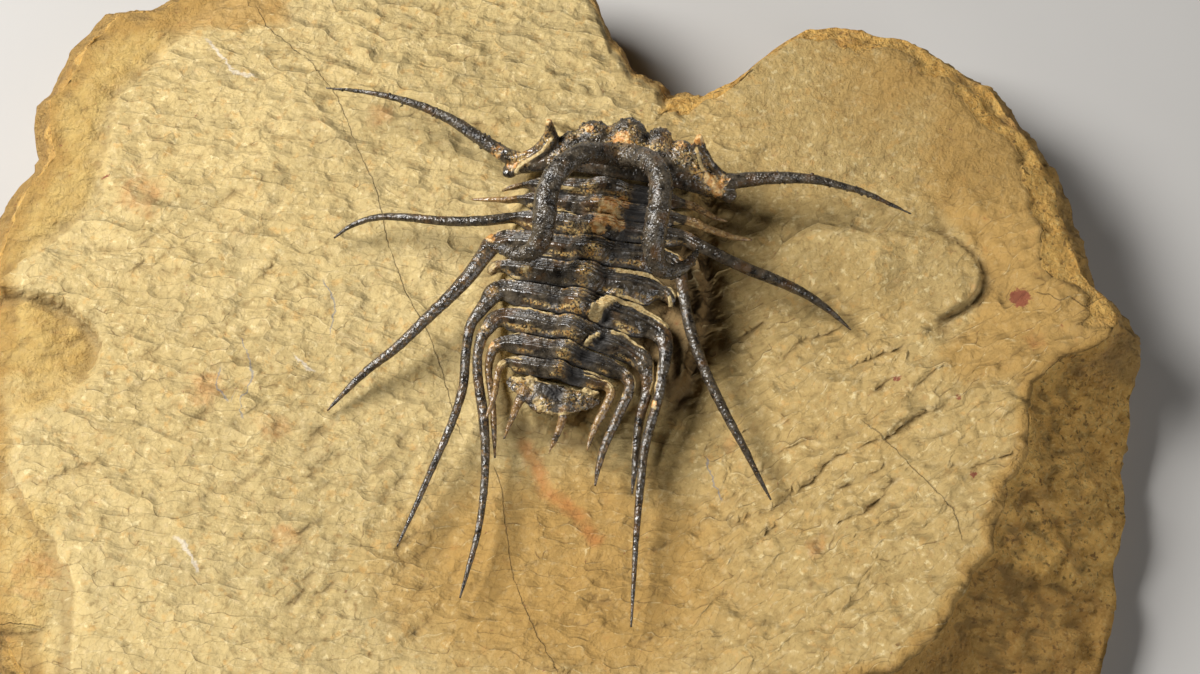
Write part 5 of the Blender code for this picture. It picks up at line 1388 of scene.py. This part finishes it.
def build_head():
    """The head shield with its horns, spines and stalks."""
    parts = [shield_plate(HEAD_LINE, 0.5, 32, HEAD_THICKNESS)]
    parts += [lobe(centre, half_sizes) for centre, half_sizes in HEAD_LOBES]
    parts += [round_sweep(tapered(points, EYE_RADII), 0.4) for points in EYE_STALKS]
    parts += [round_sweep(tapered(points, CHEEK_RIDGE_RADII), 0.4) for points in CHEEK_RIDGES]
    parts += [round_sweep(tapered(points, GENAL_RADII), 0.5) for points in GENAL_SPINES]
    parts.append(round_sweep(OCCIPITAL_HORNS, 0.5, 32))
    skin, normals, faces = grown_together("head_shield", parts, HEAD_GRAIN)

    horns = nearness(skin, OCCIPITAL_HORNS, 2.2)
    spines = np.maximum(*[nearness(skin, points[2:], 1.6) for points in GENAL_SPINES])
    lobes = np.zeros(len(skin))
    for centre, half_sizes in HEAD_LOBES[:7]:
        distance = np.linalg.norm((skin - centre) / half_sizes, axis=1)
        lobes = np.maximum(lobes, ease((1.35 - distance) / 0.3))
    facing_up = np.clip(normals[:, 2] + 0.2, 0, 1)
    lobes = lobes * (1 - horns) * facing_up
    relief = 0.09 * lumpy(skin, 1.3, 3) + 0.16 * lumpy(skin + 11.0, 3.4, 2) * (1 - np.maximum(horns, spines))
    dent_centre, dent_radius, dent_depth = HORN_DENT
    dent = np.linalg.norm(skin - dent_centre, axis=1) / dent_radius
    relief -= dent_depth * np.exp(-(dent**2))
    skin = skin + normals * relief[:, None]
    head = mesh_piece("head_shield", skin, faces, FOSSIL_SHELL)

    cream = np.zeros(len(skin))
    for line in HEAD_CREAM:
        distance = np.abs(line_distance(skin[:, 0], skin[:, 1], line)[0])
        cream = np.maximum(cream, ease((0.42 - distance) / 0.3) * (normals[:, 2] > 0))
    cream = np.maximum(cream, patches(skin, [WHITE_TUBERCLE]))
    below_horns = 1 - ease((skin[:, 2] - 40.5) / 1.0) * horns
    paint(head.data, "cream", cream * below_horns)
    paint(head.data, "orange", patches(skin, HEAD_ORANGE) * below_horns * (1 - horns))
    gold = 0.85 * lobes * ease(lumpy(skin, 2.2, 2) * 2.0 + 0.3)
    gold = np.maximum(gold, patches(skin, HEAD_GOLD) * (1 - horns))
    paint(head.data, "gold", gold * facing_up)
    paint(head.data, "granular", np.clip(np.maximum(np.maximum(horns, spines), lobes), 0.25, 1.0))
    paint(head.data, "tubercles", np.maximum(lobes, np.maximum(0.45 * horns, 0.25 * spines)))
    return head


head_shield = build_head()
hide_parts("cephalon")
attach(head_shield, "root")

# The tubercles
# Small round knobs of the same shell, thickly set on the glabella's lobes and more thinly on the
# horns and genal spines. They grow out of the surface that carries them.
TUBERCLE_SPACING = 0.78
TUBERCLE_RADII = (0.17, 0.36)


def tubercle_tree():
    """Sets flattened knobs on a surface, as thickly as its kept value says."""
    tree = bpy.data.node_groups.new("tubercles", "GeometryNodeTree")
    sockets = [
        ("Spacing", "NodeSocketFloat", TUBERCLE_SPACING * MM),
        ("Smallest", "NodeSocketFloat", TUBERCLE_RADII[0] * MM),
        ("Largest", "NodeSocketFloat", TUBERCLE_RADII[1] * MM),
        ("Seed", "NodeSocketInt", 3),
        ("Finish", "NodeSocketMaterial", None),
    ]
    tree.interface.new_socket("Geometry", in_out="INPUT", socket_type="NodeSocketGeometry")
    for label, kind, value in sockets:
        socket = tree.interface.new_socket(label, in_out="INPUT", socket_type=kind)
        if value is not None:
            socket.default_value = value
    tree.interface.new_socket("Geometry", in_out="OUTPUT", socket_type="NodeSocketGeometry")
    given = tree.nodes.new("NodeGroupInput").outputs
    result = tree.nodes.new("NodeGroupOutput").inputs
    thickness = put(tree, "GeometryNodeInputNamedAttribute", {"Name": "tubercles"},
                    data_type="FLOAT").outputs[0]
    scatter = put(tree, "GeometryNodeDistributePointsOnFaces", {
        "Mesh": given["Geometry"], "Distance Min": given["Spacing"], "Density Max": 3.0e6,
        "Density Factor": thickness, "Seed": given["Seed"],
    }, distribute_method="POISSON")
    knob = put(tree, "GeometryNodeMeshUVSphere", {"Segments": 8, "Rings": 5, "Radius": 1.0}).outputs["Mesh"]
    flat = put(tree, "GeometryNodeTransform", {"Geometry": knob, "Scale": (1.0, 1.0, 0.75)}).outputs[0]
    inputs = {2: given["Smallest"], 3: given["Largest"], "Seed": given["Seed"]}
    size = put(tree, "FunctionNodeRandomValue", inputs, data_type="FLOAT").outputs[1]
    knobs = put(tree, "GeometryNodeInstanceOnPoints", {
        "Points": scatter.outputs["Points"], "Instance": flat,
        "Rotation": scatter.outputs["Rotation"], "Scale": size,
    }).outputs[0]
    real = put(tree, "GeometryNodeRealizeInstances", {"Geometry": knobs}).outputs[0]
    rounded = put(tree, "GeometryNodeSetShadeSmooth", {0: real}).outputs[0]
    inputs = {"Geometry": rounded, "Material": given["Finish"]}
    finished = put(tree, "GeometryNodeSetMaterial", inputs).outputs[0]
    tree.links.new(finished, result["Geometry"])
    return tree


TUBERCLES = tubercle_tree()


def knobs_on(name, carrier, values):
    """The knobs that grow on a piece, as a plain mesh of their own."""
    source = placed(name + "_source", carrier.data)
    scatter = source.modifiers.new("knobs", "NODES")
    scatter.node_group = TUBERCLES
    for item in TUBERCLES.interface.items_tree:
        if item.in_out == "INPUT" and item.name in values:
            scatter[item.identifier] = values[item.name]
    depsgraph = bpy.context.evaluated_depsgraph_get()
    mesh = bpy.data.meshes.new_from_object(source.evaluated_get(depsgraph))
    bpy.data.objects.remove(source)
    return placed(name, mesh)


head_tubercles = knobs_on("head_tubercles", head_shield, {"Finish": FOSSIL_SHELL})
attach(head_tubercles, "root")

# The tail shield
# A small shield with a granular axial lobe and one pair of short spines. Its left side is worn down
# to golden calcite.
TAIL_LINE = [
    (-7.9, -4.6, 31.0, 0.6), (-7.0, -5.5, 31.4, 1.35), (-5.7, -6.35, 31.7, 1.75), (-4.1, -7.1, 32.0, 2.1),
    (-2.3, -8.25, 32.3, 2.65), (-0.1, -8.7, 32.4, 2.6), (2.1, -8.9, 32.2, 2.25), (4.4, -8.75, 31.9, 1.7),
    (6.1, -8.6, 31.4, 1.0), (6.9, -8.3, 31.0, 0.45),
]
TAIL_THICKNESS = 0.8
TAIL_LOBES = [
    ((-1.0, -7.4, 32.4), (1.5, 1.4, 1.1)),
    ((-5.0, -5.7, 32.1), (2.1, 0.9, 0.7)),
    ((-2.9, -9.5, 32.1), (1.3, 1.5, 0.9)),
    ((4.6, -7.6, 32.1), (2.3, 0.7, 0.7)),
    ((2.6, -9.6, 32.0), (1.9, 1.0, 0.7)),
]
TAIL_SPINES = [
    [(-4.7, -6.9, 32.3, 1.0), (-6.1, -8.7, 31.9, 0.8), (-7.0, -10.8, 31.3, 0.58), (-7.8, -12.75, 30.8, 0.4),
     (-8.6, -14.8, 30.2, 0.16)],
    [(1.6, -8.8, 33.0, 0.95), (1.3, -10.4, 32.4, 0.84), (0.7, -12.65, 31.5, 0.66), (-0.3, -15.0, 30.7, 0.44),
     (-1.4, -17.3, 30.0, 0.16)],
]
TAIL_GRAIN = 0.16
TAIL_CREAM_LINES = [
    (0.55, [(2.5, -6.5), (4.6, -7.1), (7.0, -8.0)]),
    (0.26, [(-7.6, -4.6), (-6.0, -4.8), (-3.6, -5.3), (-0.8, -6.1)]),
    (0.20, [(-2.0, -11.0), (0.4, -11.3), (3.0, -11.0)]),
]
TAIL_CREAM = [
    (-6.4, -5.2, 0.9, 0.55), (-4.4, -6.0, 1.0, 0.55),
    (-3.2, -9.2, 0.9, 0.6), (-2.6, -10.4, 0.8, 0.7),
]
TAIL_TAN = [
    (-5.4, -7.4, 1.2, 0.8), (-6.6, -10.2, 1.6, 0.9), (-7.9, -13.2, 1.6, 0.9),
    (1.3, -10.8, 1.0, 0.6), (0.6, -13.0, 1.5, 0.85),
    (-0.9, -16.4, 1.5, 0.9),
]
TAIL_GOLD = [(-5.6, -5.6, 1.9, 0.9), (-2.2, -9.8, 1.5, 0.7), (3.6, -8.4, 2.4, 0.5), (-4.7, -7.2, 1.0, 0.8)]


def build_tail():
    """The tail shield with its lobes and its pair of spines."""
    parts = [shield_plate(TAIL_LINE, 0.35, 28, TAIL_THICKNESS)]
    parts += [lobe(centre, half_sizes) for centre, half_sizes in TAIL_LOBES]
    parts += [round_sweep(points, 0.4) for points in TAIL_SPINES]
    skin, normals, faces = grown_together("tail_shield", parts, TAIL_GRAIN)
    relief = 0.28 * lumpy(skin, 0.9, 3) + 0.36 * lumpy(skin + 5.0, 2.2, 2)
    hollow = np.hypot((skin[:, 0] + 0.6) / 1.9, (skin[:, 1] + 7.6) / 1.5)
    relief -= 0.5 * ease(1.5 - hollow) * (normals[:, 2] > 0)
    spines = np.maximum(*[nearness(skin, points[1:], 1.2) for points in TAIL_SPINES])
    skin = skin + normals * (relief * (1 - 0.7 * spines))[:, None]
    tail = mesh_piece("tail_shield", skin, faces, FOSSIL_SHELL)
    lines = along_lines(skin, TAIL_CREAM_LINES) * (normals[:, 2] > -0.2)
    paint(tail.data, "cream", np.maximum(patches(skin, TAIL_CREAM) * (normals[:, 2] > 0), lines))
    paint(tail.data, "gold", patches(skin, TAIL_GOLD) * (normals[:, 2] > 0))
    # Painted shade in the tail's middle hollow
    paint(tail.data, "furrow_shade", ease(1.35 - hollow) * (normals[:, 2] > 0))
    paint(tail.data, "tan", patches(skin, TAIL_TAN))
    paint(tail.data, "granular", np.full(len(skin), 0.8))
    return tail


tail_shield = build_tail()
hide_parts("pygidium")
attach(tail_shield, "root")

# The studio
# A plain pale table, a large soft lamp on the left behind the slab, a weak soft fill from the front
# right, and the camera that looks steeply down on the slab.
FLOOR_SIZE = 3.0
TARGET = Vector((0.0072, -0.0014, 0.026))
CAMERA_ELEVATION = math.radians(72)
CAMERA_DISTANCE = 0.6
CAMERA_LENS = 109
SENSOR_WIDTH = 36
LAMP_COLOUR = (1.0, 0.98, 0.95)
ROOM_COLOUR = (0.9, 0.93, 1.0, 1.0)
ROOM_STRENGTH = 0.012


def pale_floor():
    """The table that the slab stands on."""
    material, tree, shader, place = new_material("pale_table")
    tone = graded(tree, cloudy(tree, place, 60.0), 0.3, 0.7)
    tree.links.new(tinted(tree, tone, (0.52, 0.51, 0.495), (0.55, 0.54, 0.525)), shader.inputs["Base Color"])
    shader.inputs["Roughness"].default_value = 0.85
    half = FLOOR_SIZE / 2
    mesh = bpy.data.meshes.new("pale_floor")
    corners = [(-half, -half, 0), (half, -half, 0), (half, half, 0), (-half, half, 0)]
    mesh.from_pydata(corners, [], [(0, 1, 2, 3)])
    mesh.materials.append(material)
    floor = placed("pale_floor", mesh)


def soft_lamp(name, place, size, power):
    """A square soft lamp that faces the slab."""
    light = bpy.data.lights.new(name, "AREA")
    light.size = size
    light.energy = power
    light.color = LAMP_COLOUR
    lamp = placed(name, light)
    lamp.location = place
    lamp.rotation_euler = (TARGET - lamp.location).to_track_quat("-Z", "Y").to_euler()


pale_floor()
soft_lamp("key_lamp", place=Vector((-0.39, 0.16, 0.46)), size=0.28, power=5.9)
soft_lamp("fill_lamp", place=Vector((0.62, -0.42, 0.34)), size=0.4, power=2.1)
world = bpy.data.worlds.new("studio")
world.use_nodes = True
room_light = world.node_tree.nodes["Background"].inputs
room_light["Color"].default_value = ROOM_COLOUR
room_light["Strength"].default_value = ROOM_STRENGTH
bpy.context.scene.world = world
bpy.context.scene.view_settings.view_transform = "Standard"

lens = bpy.data.cameras.new("photo_camera")
lens.lens = CAMERA_LENS
lens.sensor_width = SENSOR_WIDTH
lens.clip_start = 0.01
camera = placed("photo_camera", lens)
back = Vector((0.0, -math.cos(CAMERA_ELEVATION), math.sin(CAMERA_ELEVATION)))
camera.location = TARGET + back * CAMERA_DISTANCE
camera.rotation_euler = (math.pi / 2 - CAMERA_ELEVATION, 0.0, 0.0)
bpy.context.scene.camera = camera
